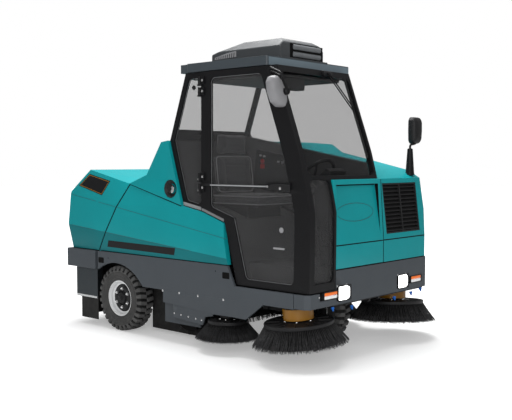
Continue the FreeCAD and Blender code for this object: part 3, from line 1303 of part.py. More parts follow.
def dashboard():
    """Dark console behind the cowl, with the steering column."""
    shelf_x = BODY_FRONT - COWL_LEAN - COWL_THICKNESS - FIT_GAP
    low = WELL_TOP_Z + FLOOR_THICKNESS + FIT_GAP
    face_z = COWL_TOP_Z - DASH_DROP
    profile = [
        (shelf_x, low), (shelf_x, COWL_TOP_Z), (shelf_x - DASH_DEPTH, face_z),
        (shelf_x - DASH_DEPTH, face_z - DASH_FACE), (shelf_x - DASH_DEPTH / 2, low),
    ]
    body = prism_xz(profile, COWL_RIGHT_Y, CAB_LEFT_Y - CAB_SIDE_BAR - FLOOR_THICKNESS)
    start, end = steering_line()
    return join([body, rod(start, end, COLUMN_RADIUS)])


def steering_line():
    """Column from the dashboard up to the steering wheel's hub."""
    start_x = BODY_FRONT - COWL_LEAN - COWL_THICKNESS - DASH_DEPTH * COLUMN_PLACE_SHARE
    start_z = COWL_TOP_Z - DASH_DROP - DASH_FACE
    slope = math.radians(COLUMN_ANGLE_DEG)
    end_x = start_x - COLUMN_LENGTH * math.cos(slope)
    end_z = start_z + COLUMN_LENGTH * math.sin(slope)
    return (start_x, DRIVER_Y, start_z), (end_x, DRIVER_Y, end_z)


def steering_wheel():
    """Rim, three spokes and hub on the column's end."""
    start, end = [vec(*point) for point in steering_line()]
    axis = (end - start).normalize()
    base = end + axis * FIT_GAP
    hub = Part.makeCylinder(HUB_RADIUS / 2, STEERING_HUB_HEIGHT, base, axis)
    centre = base + axis * STEERING_TUBE
    wheel = Part.makeTorus(STEERING_RADIUS, STEERING_TUBE, centre, axis)
    for turn in SPOKE_ANGLES_DEG:
        arm = FreeCAD.Rotation(axis, turn).multVec(axis.cross(vec(0, 1, 0)))
        wheel = wheel.fuse(Part.makeCylinder(SPOKE_RADIUS, STEERING_RADIUS, centre, arm))
    return wheel.fuse(hub)


def seat_base():
    """Box under the seat that stands on the stepped floor."""
    rear_x = side_x(SEAT_SHARES[0])
    half = SEAT_WIDTH / 2 - CUSHION / 2
    step_x, step_z = side_points(CAB_BASE_SHARES)[2]
    box = block(rear_x + CUSHION / 2, step_x, DRIVER_Y - half, DRIVER_Y + half, step_z, SEAT_Z)
    inside = prism_xz(inset(cab_outline(), FLOOR_THICKNESS), CAB_RIGHT_Y, CAB_LEFT_Y)
    return box.common(inside)


def seat_cushions():
    """Seat cushion, back and headrest."""
    rear_x, front_x = [side_x(share) for share in SEAT_SHARES]
    low_y, high_y = DRIVER_Y - SEAT_WIDTH / 2, DRIVER_Y + SEAT_WIDTH / 2
    top_x = rear_x - SEAT_RECLINE
    back_z, head_z = SEAT_Z + CUSHION, SEAT_Z + BACK_HEIGHT
    cushion = block(rear_x, front_x, low_y, high_y, SEAT_Z, back_z)
    back = prism_xz([
        (rear_x, back_z), (rear_x + CUSHION, back_z),
        (top_x + CUSHION, head_z), (top_x, head_z),
    ], low_y + BACK_INSET, high_y - BACK_INSET)
    head = block(top_x, top_x + HEADREST_DEPTH, DRIVER_Y - HEADREST_WIDTH / 2,
                 DRIVER_Y + HEADREST_WIDTH / 2, head_z, head_z + HEADREST_HEIGHT)
    return join([cushion, back, head])


def air_conditioner():
    """Roof unit with a sloping rear end and chamfered top edges."""
    rear_x, front_x = [side_x(share) for share in UNIT_SHARES]
    low = ROOF_TOP_Z
    high = low + UNIT_HEIGHT
    outline = [
        (rear_x, low), (front_x, low), (front_x, low + UNIT_HEIGHT * UNIT_FACE_SHARE),
        (front_x - UNIT_FRONT_CHAMFER, high), (rear_x + UNIT_RAMP, high),
        (rear_x, low + UNIT_REAR_HEIGHT),
    ]
    body = prism_xz(outline, UNIT_RIGHT_Y, UNIT_LEFT_Y)
    side = UNIT_SIDE_CHAMFER
    section = [
        (UNIT_RIGHT_Y, low), (UNIT_LEFT_Y, low), (UNIT_LEFT_Y, high - side),
        (UNIT_LEFT_Y - side, high), (UNIT_RIGHT_Y + side, high), (UNIT_RIGHT_Y, high - side),
    ]
    return body.common(prism_yz(section, rear_x, front_x)).removeSplitter()


def wiper():
    """Wiper motor bracket under the roof's front edge, arm and blade on the windscreen."""
    outline = cab_outline()
    pivot = (side_x(WIPER_PIVOT_SHARE[0]), WIPER_PIVOT_Y, side_z(WIPER_PIVOT_SHARE[1]))
    elbow = (side_x(WIPER_END_SHARE[0]), WIPER_BLADE_Y, side_z(WIPER_END_SHARE[1]))
    top = (side_x(BLADE_TOP_SHARE[0]), WIPER_BLADE_Y, side_z(BLADE_TOP_SHARE[1]))
    foot = (side_x(BLADE_FOOT_SHARE[0]), WIPER_BLADE_Y, side_z(BLADE_FOOT_SHARE[1]))
    arm = rod_chain([pivot, elbow], WIPER_ARM_RADIUS)
    blade = rod_chain([top, elbow, foot], WIPER_BLADE_RADIUS)
    mount_top = ROOF_TOP_Z - ROOF_THICKNESS
    mount = block(pivot[0] - CAB_BAR, pivot[0] + WIPER_ARM_RADIUS, pivot[1] - CAB_BAR,
                  pivot[1] + CAB_BAR, mount_top - CAB_BAR, mount_top)
    mount = mount.cut(prism_xz(outline, CAB_RIGHT_Y, CAB_LEFT_Y))
    return join([arm, blade, mount])


def brush_housing():
    """Bearing cheeks of the main brush and the bolted plates below the skirts."""
    rear_x = MAIN_BRUSH_X - MAIN_BRUSH_RADIUS - RUN_GAP
    front_x = MAIN_BRUSH_X + MAIN_BRUSH_RADIUS + RUN_GAP
    y, z = HOUSING_Y, MAIN_BRUSH_Z
    top_z = RAIL_BOTTOM_Z
    low_z = z - MAIN_BRUSH_RADIUS / 2
    cheek = block(rear_x, front_x, -y, -y + HOUSING_PLATE, low_z, top_z)
    shelf = block(rear_x, front_x, -BODY_HALF + SHEET, -MAIN_BRUSH_HALF_LENGTH - RUN_GAP,
                  top_z - HOUSING_PLATE, top_z)
    boss = rod((MAIN_BRUSH_X, -y, z), (MAIN_BRUSH_X, -MAIN_BRUSH_HALF_LENGTH - RUN_GAP, z),
               BEARING_RADIUS)
    bore = rod((MAIN_BRUSH_X, -y - CUT_OVERRUN, z), (MAIN_BRUSH_X, 0, z),
               MAIN_BRUSH_SHAFT_RADIUS + SHAFT_FIT)
    plate_y = -BODY_HALF + HOUSING_PLATE
    upper = prism_xz(side_points(APRON_SHARES), -BODY_HALF, plate_y)
    lower = prism_xz(side_points(LOW_APRON_SHARES), plate_y, plate_y + HOUSING_PLATE)
    (lap_rear, lap_low), (lap_front, lap_high) = side_points(APRON_LAP_SHARES)
    back_y = -BODY_HALF + SHEET
    lap = block(lap_rear, lap_front, plate_y, back_y + HOUSING_PLATE, lap_low,
                SKIRT_BOTTOM_Z - FIT_GAP)
    tongue = block(lap_rear, lap_front, back_y, back_y + HOUSING_PLATE, lap_low, lap_high)
    side = less(join([cheek, shelf, boss, upper, lower, lap, tongue]), bore)
    return both_sides(side)


def main_brush():
    """Cylinder brush on its shaft, solid to the tips of its tufts."""
    x, z = MAIN_BRUSH_X, MAIN_BRUSH_Z
    half = MAIN_BRUSH_HALF_LENGTH
    core = rod((x, -half, z), (x, half, z), MAIN_BRUSH_RADIUS)
    shaft = rod((x, -HOUSING_Y, z), (x, HOUSING_Y, z), MAIN_BRUSH_SHAFT_RADIUS)
    return join([core, shaft])


def brush_frame(x, y, z, side):
    """Placement of a side brush: tips level at z, tilted by its camber and pitch."""
    pitch = FreeCAD.Rotation(vec(0, 1, 0), -BRUSH_PITCH_DEG)
    camber = FreeCAD.Rotation(vec(1, 0, 0), side * -BRUSH_CAMBER_DEG)
    return FreeCAD.Placement(vec(x, y, z), pitch.multiply(camber))


def side_brush(tip_radius, disc_radius, height, place):
    """Flared bristle ring under a disc, with the hub on top."""
    disc_top = height + DISC_THICKNESS
    inner_top = disc_radius * BRISTLE_INNER_SHARE
    inner_tip = tip_radius - (disc_radius - inner_top)
    profile = [
        (inner_tip, 0), (tip_radius, 0), (disc_radius, height), (disc_radius, disc_top),
        (MOTOR_SHAFT_RADIUS, disc_top), (MOTOR_SHAFT_RADIUS, height), (inner_top, height),
    ]
    corners = [vec(radius, 0, z) for radius, z in profile]
    face = Part.Face(Part.makePolygon(corners + corners[:1]))
    bell = face.revolve(vec(0, 0, 0), vec(0, 0, 1), 360)
    hub = Part.makeCylinder(MOTOR_SHAFT_RADIUS, HUB_HEIGHT, vec(0, 0, height))
    brush = join([bell, hub])
    brush.Placement = place
    return brush


def front_arm(side):
    """Arm of a front side brush, from its pivot under the rail to the motor over the disc."""
    x, y, z = FRONT_BRUSH_X, side * FRONT_BRUSH_Y, FRONT_BRUSH_TIP_Z
    base = BRISTLE_HEIGHT + MOTOR_SEAT_HEIGHT
    guard = Part.makeCylinder(MOTOR_GUARD_RADIUS, MOTOR_GUARD_HEIGHT, vec(0, 0, base))
    socket = Part.makeCylinder(MOTOR_SHAFT_RADIUS + SHAFT_FIT, SHAFT_DEPTH,
                               vec(0, 0, base - CUT_OVERRUN))
    guard = guard.cut(socket)
    guard.Placement = brush_frame(x, y, z, side)
    pivot_x, pivot_z = arm_pivot()
    half = ARM_HEIGHT / 2
    end_x = x - MOTOR_GUARD_RADIUS * ARM_REACH_SHARE
    low_y, high_y = sorted((side * ARM_Y, side * (ARM_Y + ARM_WIDTH)))
    arm = prism_xz([
        (pivot_x - half, pivot_z - half), (end_x, z + base + ARM_END_RISE),
        (end_x, z + base + ARM_HEIGHT), (pivot_x - half, pivot_z + half),
    ], low_y, high_y)
    eye = rod((pivot_x, low_y, pivot_z), (pivot_x, high_y, pivot_z), half)
    bore = rod((pivot_x, low_y - CUT_OVERRUN, pivot_z), (pivot_x, high_y + CUT_OVERRUN, pivot_z),
               ARM_PIN_RADIUS + SHAFT_FIT)
    return less(join([guard, arm, eye]), bore)


def arm_pivot():
    """Side-view place of the front brush arms' pivot pin."""
    return (side_x(ARM_PIVOT_SHARE), ARM_PIVOT_Z)


def arm_brackets():
    """Forked brackets under the rails that hold the front brush arms' pivot pins."""
    x, z = arm_pivot()
    half = ARM_HEIGHT / 2
    pieces = []
    for side in (-1, 1):
        inner, outer = ARM_Y - CLAMP_PLATE - FIT_GAP, ARM_Y + ARM_WIDTH + CLAMP_PLATE + FIT_GAP
        plate_y = sorted((side * inner, side * outer))
        parts = [
            block(x - half, x + half, *plate_y, RAIL_BOTTOM_Z - CLAMP_PLATE, RAIL_BOTTOM_Z),
            rod((x, plate_y[0], z), (x, plate_y[1], z), ARM_PIN_RADIUS),
        ]
        for start in (inner, outer - CLAMP_PLATE):
            ear_y = sorted((side * start, side * (start + CLAMP_PLATE)))
            parts.append(block(x - half, x + half, *ear_y, z - half, RAIL_BOTTOM_Z - CLAMP_PLATE))
        pieces.append(join(parts))
    return pieces


def mid_brush_mounts():
    """Motor brackets of the small side brushes, hung from the rails."""
    pieces = []
    x = MID_BRUSH_X
    base = MID_BRUSH_TIP_Z + MID_BRISTLE_HEIGHT + MID_MOTOR_RISE
    for side in (-1, 1):
        y = side * MID_BRUSH_Y
        motor = rod((x, y, base), (x, y, SKIRT_BOTTOM_Z), MID_MOTOR_RADIUS)
        hole = rod((x, y, base - CUT_OVERRUN), (x, y, base + MID_SHAFT_DEPTH),
                   MOTOR_SHAFT_RADIUS + SHAFT_FIT)
        plate_y = sorted((side * RAIL_INNER_Y, side * (MID_BRUSH_Y + MID_MOTOR_RADIUS)))
        plate = block(x - MID_MOTOR_RADIUS, x + MID_MOTOR_RADIUS, *plate_y,
                      SKIRT_BOTTOM_Z, RAIL_BOTTOM_Z)
        pieces.append(join([motor.cut(hole), plate]))
    return pieces


def mid_brush(side):
    centre = vec(MID_BRUSH_X, side * MID_BRUSH_Y, MID_BRUSH_TIP_Z)
    place = FreeCAD.Placement(centre, FreeCAD.Rotation())
    return side_brush(MID_BRUSH_TIP_RADIUS, MID_BRUSH_DISC_RADIUS, MID_BRISTLE_HEIGHT, place)


def front_brush(side):
    place = brush_frame(FRONT_BRUSH_X, side * FRONT_BRUSH_Y, FRONT_BRUSH_TIP_Z, side)
    return side_brush(FRONT_BRUSH_TIP_RADIUS, FRONT_BRUSH_DISC_RADIUS, BRISTLE_HEIGHT, place)


def front_fork():
    """Steered fork: two side plates, a crown over the tyre, the kingpin and the axle."""
    x, z = FRONT_AXLE_X, TYRE_RADIUS
    half = TYRE_WIDTH / 2 + FORK_CLEARANCE
    crown_z = CROWN_TOP_Z - FORK_CROWN_HEIGHT
    plates = []
    for side in (-1, 1):
        plate_y = sorted((side * half, side * (half + FORK_PLATE)))
        plates.append(block(x - FORK_PLATE_WIDTH / 2, x + FORK_PLATE_WIDTH / 2, *plate_y,
                            z - FORK_PLATE_WIDTH / 2, CROWN_TOP_Z))
    crown = block(x - FORK_PLATE_WIDTH / 2, x + FORK_PLATE_WIDTH / 2, -half, half,
                  crown_z, CROWN_TOP_Z)
    pin = rod((x, 0, CROWN_TOP_Z), (x, 0, BRIDGE_TOP_Z), KINGPIN_RADIUS)
    axle = rod((x, -half, z), (x, half, z), AXLE_RADIUS)
    return join(plates + [crown, pin, axle])


NODES = {
    "chassis_frame": chassis_frame(),
    "rear_axles": rear_axles(),
    "side_skirts": side_skirts(),
    "front_bumper": front_bumper(),
    "head_lamps": head_lamps(),
    "side_panels": side_panels(),
    "rear_fairing": rear_fairing(),
    "filler_cap": filler_cap(),
    "front_cowl": front_cowl(),
    "engine_hood": join([engine_hood()] + service_pins()),
    "radiator_grille": radiator_grille(),
    "engine_block": engine_block(),
    "engine_door": engine_door(),
    "cab_frame": join([cab_frame(), post_piece()] + door_pins()),
    "cab_tub": cab_tub(),
    "cab_roof": cab_roof(),
    "windscreen": windscreen(),
    "side_windows": side_windows(),
    "door_frame": door_frame(),
    "door_glass": door_glass(),
    "mirror_right": mirror_right(),
    "mirror_left": mirror_left(),
    "wiper": wiper(),
    "air_conditioner": air_conditioner(),
    "dashboard": dashboard(),
    "steering_wheel": steering_wheel(),
    "seat_base": seat_base(),
    "seat_cushions": seat_cushions(),
    "brush_housing": brush_housing(),
    "main_brush": main_brush(),
    "front_fork": front_fork(),
    "hopper_cover": hopper_cover(),
    "hopper_bin": hopper_bin(),
    "rear_bumper": rear_bumper(),
    "tail_lamps": tail_lamps(),
    "hopper_plates": hopper_plates(),
    "hopper_flaps": hopper_flaps(),
}
for side_name, side in (("right", -1), ("left", 1)):
    NODES["front_arm_" + side_name] = front_arm(side)
    NODES["front_brush_" + side_name] = front_brush(side)
    NODES["mid_brush_" + side_name] = mid_brush(side)
    NODES["rear_tyre_" + side_name] = tyre(REAR_AXLE_X, side * REAR_WHEEL_Y)
    NODES["rear_rim_" + side_name] = rim(REAR_AXLE_X, side * REAR_WHEEL_Y, side)
NODES["front_tyre"] = tyre(FRONT_AXLE_X, 0)
NODES["front_rim"] = rim(FRONT_AXLE_X, 0, -1)

os.makedirs("parts", exist_ok=True)
for name, shape in NODES.items():
    shape.exportStep("parts/" + name + ".step")
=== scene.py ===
import json
import math
import random

import bmesh
import bpy
from mathutils import Matrix, Vector


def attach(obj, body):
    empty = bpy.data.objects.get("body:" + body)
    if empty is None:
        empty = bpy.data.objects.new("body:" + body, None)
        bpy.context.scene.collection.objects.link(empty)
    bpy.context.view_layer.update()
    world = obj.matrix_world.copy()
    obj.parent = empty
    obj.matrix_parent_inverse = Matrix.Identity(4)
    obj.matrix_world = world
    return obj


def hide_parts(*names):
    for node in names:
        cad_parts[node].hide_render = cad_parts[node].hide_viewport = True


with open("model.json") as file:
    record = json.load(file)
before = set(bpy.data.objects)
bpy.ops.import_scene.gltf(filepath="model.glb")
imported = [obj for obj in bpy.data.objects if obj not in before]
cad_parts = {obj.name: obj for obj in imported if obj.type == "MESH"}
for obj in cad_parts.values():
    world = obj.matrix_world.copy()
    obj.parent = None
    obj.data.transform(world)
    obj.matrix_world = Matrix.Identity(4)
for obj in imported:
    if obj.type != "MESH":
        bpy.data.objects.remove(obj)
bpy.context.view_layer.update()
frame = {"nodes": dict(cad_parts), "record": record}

X, Y, Z = Vector((1, 0, 0)), Vector((0, 1, 0)), Vector((0, 0, 1))
SIDES = (("right", -1), ("left", 1))
NODES = frame["nodes"]
RECORD = frame["record"]
NODE_BODY = {node: body for body, nodes in RECORD["behaviour"]["bodies"].items() for node in nodes}

# Metres, as the frame. Camera fitted to the photograph.
CAMERA_PLACE = (4.6268, -5.0730, 1.3984)
CAMERA_YAW_DEG, CAMERA_PITCH_DEG, CAMERA_ROLL_DEG = 131.656, -3.350, 0.070
CAMERA_LENS = 58.53

# The sweeper's planes and lines that the pieces are set against
BODY_HALF = 0.772
FRONT_X = 1.2585
REAR_X = -1.3975
CREASE = ((-1.3335, 1.1151), (0.5276, 0.8399))
LOW_CREASE = ((-1.3656, 0.8539), (0.1456, 0.7299))
TOP_LEAN, LOW_LEAN, HOOD_LEAN = 0.18, 0.12, 0.08
SKIRT_TOP_Z = 0.648
PANEL_TOP_Z = 0.818
COWL_TOP_Z, COWL_BORDER, COWL_RECESS = 1.272, 0.036, 0.034
CAB_RIGHT_Y, CAB_LEFT_Y = -0.720, 0.118
COWL_RIGHT_Y, HOOD_RIGHT_Y = -0.456, 0.134
DOOR_OUTER_Y = -0.750
CAB_TOP_Z = 2.0564
WHEEL_Z = 0.270
REAR_WHEEL_X, REAR_WHEEL_Y = -0.7375, 0.664
FRONT_WHEEL_X = 0.7485
SEAM_LINE = [(-0.9745, 0.658), (-0.8680, 0.813), (-0.7238, 1.0250), (-0.7104, 1.0441),
             (-0.5885, 1.2171)]
SHOULDER = [(-0.5885, 1.2171), (0.0203, 1.0630)]
CAB_BASE = [(0.0203, 1.0630), (0.2652, 1.0191), (0.4713, 0.9529), (0.5924, 0.5120)]
CAB_FRONT = [(1.2545, 0.5173), (1.2585, 0.8149), (1.2585, 1.0511), (1.2319, 1.1770),
             (1.2014, 1.2981), (1.1576, 1.4600), (1.1031, 1.6150), (1.0566, 1.7420),
             (0.9427, 2.0564)]
CAB_REAR = [(0.0468, 2.0564), (-0.1285, 1.5561)]
POST_X = 0.234346
DOOR_BORDER, DOOR_REAR_STILE, DOOR_FRONT_STILE, DOOR_MIDDLE_X = 0.046, 0.048, 0.088, 0.75
ROD_Z = 1.2254
PANE_RADIUS, PANE_LAP = 0.040, 0.011
HINGE_Y, HINGE_BOLT_Z = -0.7618, (1.1846, 1.2652, 1.8906, 1.9690)
LEFT_SILL = ((-1.3975, 1.845), (1.2585, 1.366))


def line_z(line, x):
    """Height of a side-view line at a place along the machine."""
    (x_a, z_a), (x_b, z_b) = line
    return z_a + (z_b - z_a) * (x - x_a) / (x_b - x_a)


def side_y(x, z, top_lean=TOP_LEAN):
    """Distance of the body's faceted side from the middle plane."""
    above = max(0.0, z - line_z(CREASE, x)) * top_lean
    below = max(0.0, line_z(LOW_CREASE, x) - z) * LOW_LEAN
    return BODY_HALF - above - below


def inset(points, distance):
    """Closed flat outline moved inwards by a distance."""
    count = len(points)
    area = sum(points[i][0] * points[(i + 1) % count][1]
               - points[(i + 1) % count][0] * points[i][1]
               for i in range(count))
    turn = distance if area > 0 else -distance
    lines = []
    for index in range(count):
        start, end = Vector(points[index]), Vector(points[(index + 1) % count])
        along = (end - start).normalized()
        shift = Vector((-along.y, along.x)) * turn
        lines.append((start + shift, along))
    moved = []
    for index in range(count):
        (p, a), (q, b) = lines[index - 1], lines[index]
        cross = a.x * b.y - a.y * b.x
        if abs(cross) < 1e-6:
            moved.append(tuple(q))
            continue
        step = ((q.x - p.x) * b.y - (q.y - p.y) * b.x) / cross
        moved.append(tuple(p + a * step))
    return moved


def clip(points, measure):
    """Part of a closed flat outline where a straight-line measure isn't negative."""
    result = []
    for index, here in enumerate(points):
        after = points[(index + 1) % len(points)]
        d_here, d_after = measure(here), measure(after)
        if d_here >= 0:
            result.append(tuple(here))
        if d_here * d_after < 0:
            share = d_here / (d_here - d_after)
            result.append(tuple(h + (a - h) * share for h, a in zip(here, after)))
    return result


class Shader:
    """A node material built step by step round one Principled shader."""

    def __init__(self, name):
        self.material = bpy.data.materials.new(name)
        self.material.use_nodes = True
        self.nodes = self.material.node_tree.nodes
        self.links = self.material.node_tree.links
        self.shader = self.nodes["Principled BSDF"]
        self.place = self.add("ShaderNodeTexCoord").outputs["Object"]

    def add(self, kind, **values):
        node = self.nodes.new(kind)
        for key, value in values.items():
            setattr(node, key, value)
        return node

    def set(self, **values):
        for key, value in values.items():
            self.shader.inputs[key.replace("_", " ")].default_value = value

    def noise(self, scale, detail=4.0, roughness=0.55, stretch=(1, 1, 1)):
        mapping = self.add("ShaderNodeMapping")
        mapping.inputs["Scale"].default_value = stretch
        self.links.new(self.place, mapping.inputs["Vector"])
        noise = self.add("ShaderNodeTexNoise")
        noise.inputs["Scale"].default_value = scale
        noise.inputs["Detail"].default_value = detail
        noise.inputs["Roughness"].default_value = roughness
        self.links.new(mapping.outputs["Vector"], noise.inputs["Vector"])
        return noise.outputs["Fac"]

    def ramp(self, value, *stops):
        ramp = self.add("ShaderNodeValToRGB")
        while len(ramp.color_ramp.elements) < len(stops):
            ramp.color_ramp.elements.new(0.5)
        for element, (position, colour) in zip(ramp.color_ramp.elements, stops):
            element.position = position
            element.color = (*colour, 1.0)
        self.links.new(value, ramp.inputs["Fac"])
        return ramp.outputs["Color"]

    def spread(self, value, low, high):
        """Value from 0..1 to low..high."""
        spread = self.add("ShaderNodeMapRange")
        spread.inputs["To Min"].default_value = low
        spread.inputs["To Max"].default_value = high
        self.links.new(value, spread.inputs["Value"])
        return spread.outputs["Result"]

    def height(self, low, high):
        """0 at the lower height, 1 at the upper one."""
        parts = self.add("ShaderNodeSeparateXYZ")
        self.links.new(self.place, parts.inputs["Vector"])
        spread = self.add("ShaderNodeMapRange")
        spread.inputs["From Min"].default_value = low
        spread.inputs["From Max"].default_value = high
        self.links.new(parts.outputs["Z"], spread.inputs["Value"])
        return spread.outputs["Result"]

    def product(self, first, second):
        times = self.add("ShaderNodeMath", operation="MULTIPLY")
        self.links.new(first, times.inputs[0])
        self.links.new(second, times.inputs[1])
        return times.outputs["Value"]

    def mix(self, amount, first, second):
        mix = self.add("ShaderNodeMix", data_type="RGBA")
        self.links.new(amount, mix.inputs["Factor"])
        for socket, value in ((6, first), (7, second)):
            if isinstance(value, tuple):
                mix.inputs[socket].default_value = (*value, 1.0)
            else:
                self.links.new(value, mix.inputs[socket])
        return mix.outputs[2]

    def link(self, value, socket):
        self.links.new(value, self.shader.inputs[socket])

    def bump(self, value, strength, distance=0.001):
        bump = self.add("ShaderNodeBump")
        bump.inputs["Strength"].default_value = strength
        bump.inputs["Distance"].default_value = distance
        self.links.new(value, bump.inputs["Height"])
        self.link(bump.outputs["Normal"], "Normal")


def shade(colour, factor):
    return tuple(channel * factor for channel in colour)


def paint(name, colour, roughness=0.32, coat=0.2, peel=0.04, dust=0.03, shine=0.4):
    """Sprayed paint: faint mottling, orange peel and a little road dust low down."""
    s = Shader(name)
    mottle = s.ramp(s.noise(2.2), (0.3, shade(colour, 0.95)), (0.7, shade(colour, 1.04)))
    low_dust = s.product(s.height(0.75, 0.10), s.spread(s.noise(9.0, 6.0), 0.0, dust * 2))
    s.link(s.mix(low_dust, mottle, (0.30, 0.27, 0.23)), "Base Color")
    s.link(s.spread(s.noise(60.0, 3.0), roughness * 0.85, roughness * 1.2), "Roughness")
    s.bump(s.noise(420.0, 2.0), peel)
    s.set(Coat_Weight=coat, Coat_Roughness=0.15, Specular_IOR_Level=shine)
    return s.material


def metal(name, colour, roughness=0.3, stretch=(1, 1, 1), dark=0.75):
    """Bare or plated metal with fine streaks."""
    s = Shader(name)
    grain = s.noise(90.0, 5.0, stretch=stretch)
    s.link(s.ramp(grain, (0.3, shade(colour, dark)), (0.7, colour)), "Base Color")
    s.link(s.spread(s.noise(30.0), roughness * 0.7, roughness * 1.4), "Roughness")
    s.bump(grain, 0.05, 0.0005)
    s.set(Metallic=1.0)
    return s.material


def plastic(name, colour, roughness=0.5, grain=0.12, scale=600.0, speckle=0.85, shine=0.25):
    """Moulded plastic or powder coat with a fine grain."""
    s = Shader(name)
    s.link(s.ramp(s.noise(5.0), (0.3, shade(colour, speckle)), (0.7, colour)), "Base Color")
    s.link(s.spread(s.noise(18.0), roughness * 0.85, roughness * 1.15), "Roughness")
    s.bump(s.noise(scale, 2.0), grain, 0.0006)
    s.set(Specular_IOR_Level=shine)
    return s.material


def rubber(name, colour, dusty):
    """Tyre or flap rubber, dusty in its low places."""
    s = Shader(name)
    s.link(s.ramp(s.noise(14.0, 7.0, 0.7), (0.30, colour), (0.75, dusty)), "Base Color")
    s.link(s.spread(s.noise(22.0), 0.62, 0.86), "Roughness")
    s.bump(s.noise(180.0, 4.0), 0.25, 0.0008)
    s.set(Specular_IOR_Level=0.25)
    return s.material


def bristle(name, root, tip, low, high):
    """Plastic bristles, paler low down at their tips and darker higher up towards their roots."""
    s = Shader(name)
    fibre = s.ramp(s.noise(160.0, 2.0, stretch=(1, 1, 0.04)), (0.35, root), (0.7, tip))
    s.link(s.mix(s.height(low, high), fibre, shade(root, 0.5)), "Base Color")
    s.set(Roughness=0.42, Specular_IOR_Level=0.3)
    return s.material


def glass(name, colour, cover):
    """Tinted pane: a thin film of colour that lets the rest through."""
    s = Shader(name)
    s.link(s.spread(s.noise(3.0), cover * 0.97, cover * 1.03), "Alpha")
    s.link(s.ramp(s.noise(7.0), (0.2, shade(colour, 0.9)), (0.8, colour)), "Base Color")
    s.set(Roughness=0.04, Specular_IOR_Level=0.15)
    return s.material


def lens(name, colour, glow=0.0, ribs=120.0):
    """Moulded lamp lens with fine ribs, lit from inside where glow is given."""
    s = Shader(name)
    rib = s.noise(ribs, 1.0, stretch=(0.1, 1, 0.1))
    s.link(s.ramp(rib, (0.3, shade(colour, 0.85)), (0.7, colour)), "Base Color")
    s.bump(rib, 0.3, 0.001)
    s.set(Roughness=0.15, Emission_Color=(*colour, 1.0), Emission_Strength=glow)
    return s.material


def fabric(name, colour):
    """Woven seat cloth with a fine crossed weave."""
    s = Shader(name)
    waves = []
    for direction in ("X", "Z"):
        wave = s.add("ShaderNodeTexWave", bands_direction=direction)
        wave.inputs["Scale"].default_value = 220.0
        s.links.new(s.place, wave.inputs["Vector"])
        waves.append(wave.outputs["Fac"])
    s.link(s.ramp(s.noise(40.0, 5.0), (0.3, shade(colour, 0.7)), (0.7, colour)), "Base Color")
    s.bump(s.product(*waves), 0.35, 0.0008)
    s.set(Roughness=0.9, Sheen_Weight=0.25, Specular_IOR_Level=0.2)
    return s.material


TEAL = paint("teal_paint", (0.004, 0.290, 0.315), roughness=0.38, coat=0.03, shine=0.12)
# Darker copy of the teal: painted shade on the lower facets of the sides
TEAL_SHADED = paint("teal_paint_shaded", (0.003, 0.165, 0.182), roughness=0.38, coat=0.03, shine=0.12)
# Dark teal: painted shade along the formed creases and the pressed oval's edge
GROOVE_SHADE_TEAL = paint("groove_painted_shade", (0.006, 0.110, 0.120), roughness=0.35, coat=0.2)
GREY = paint("grey_paint", (0.064, 0.074, 0.085), roughness=0.5, coat=0.0, dust=0.03, shine=0.18)
PLATE_GREY = paint("plate_grey", (0.034, 0.042, 0.048), roughness=0.5, coat=0.0, dust=0.02,
                   shine=0.15)
BLACK = plastic("black_coat", (0.008, 0.008, 0.009), roughness=0.42, grain=0.02, shine=0.15)
SLATE = paint("roof_slate", (0.048, 0.060, 0.070), roughness=0.42, coat=0.08, dust=0.0, shine=0.3)
UNIT = plastic("unit_slate", (0.058, 0.063, 0.068), roughness=0.5, grain=0.04, scale=260.0)
CHASSIS = plastic("chassis_black", (0.014, 0.014, 0.015), roughness=0.5)
MOULDED = plastic("black_plastic", (0.014, 0.014, 0.015), roughness=0.5, grain=0.03)
INTERIOR = plastic("cab_lining", (0.075, 0.075, 0.077), roughness=0.8, grain=0.0)
PALE = plastic("pale_plastic", (0.30, 0.30, 0.31), roughness=0.4, grain=0.03)
HEAD_GREY = plastic("mirror_grey", (0.26, 0.26, 0.27), roughness=0.4, grain=0.02)
VENT_GREY = plastic("vent_grey", (0.17, 0.18, 0.19), roughness=0.5, grain=0.02)
SILL_GREY = plastic("sill_grey", (0.20, 0.205, 0.21), roughness=0.45, grain=0.02)
SILVER = plastic("sill_silver", (0.36, 0.37, 0.38), roughness=0.4, grain=0.02)
# Near black: dark seams between panels, and painted shade in holes, slots, louvres, the cowl
# recess, the unit's bay and behind the grille
SEAM_AND_SHADE_BLACK = plastic("seam_and_painted_shade_black", (0.004, 0.004, 0.004), roughness=0.7, shine=0.1)
STEEL = metal("steel", (0.62, 0.63, 0.64), 0.34)
BOLT = metal("bolt_zinc", (0.80, 0.80, 0.80), 0.25)
CAST = plastic("cast_iron", (0.05, 0.05, 0.05), roughness=0.7, grain=0.5, scale=120.0)
RIM = paint("rim_silver", (0.78, 0.79, 0.80), roughness=0.3, coat=0.2, dust=0.1)
TYRE = rubber("tyre_rubber", (0.040, 0.040, 0.040), (0.075, 0.074, 0.072))
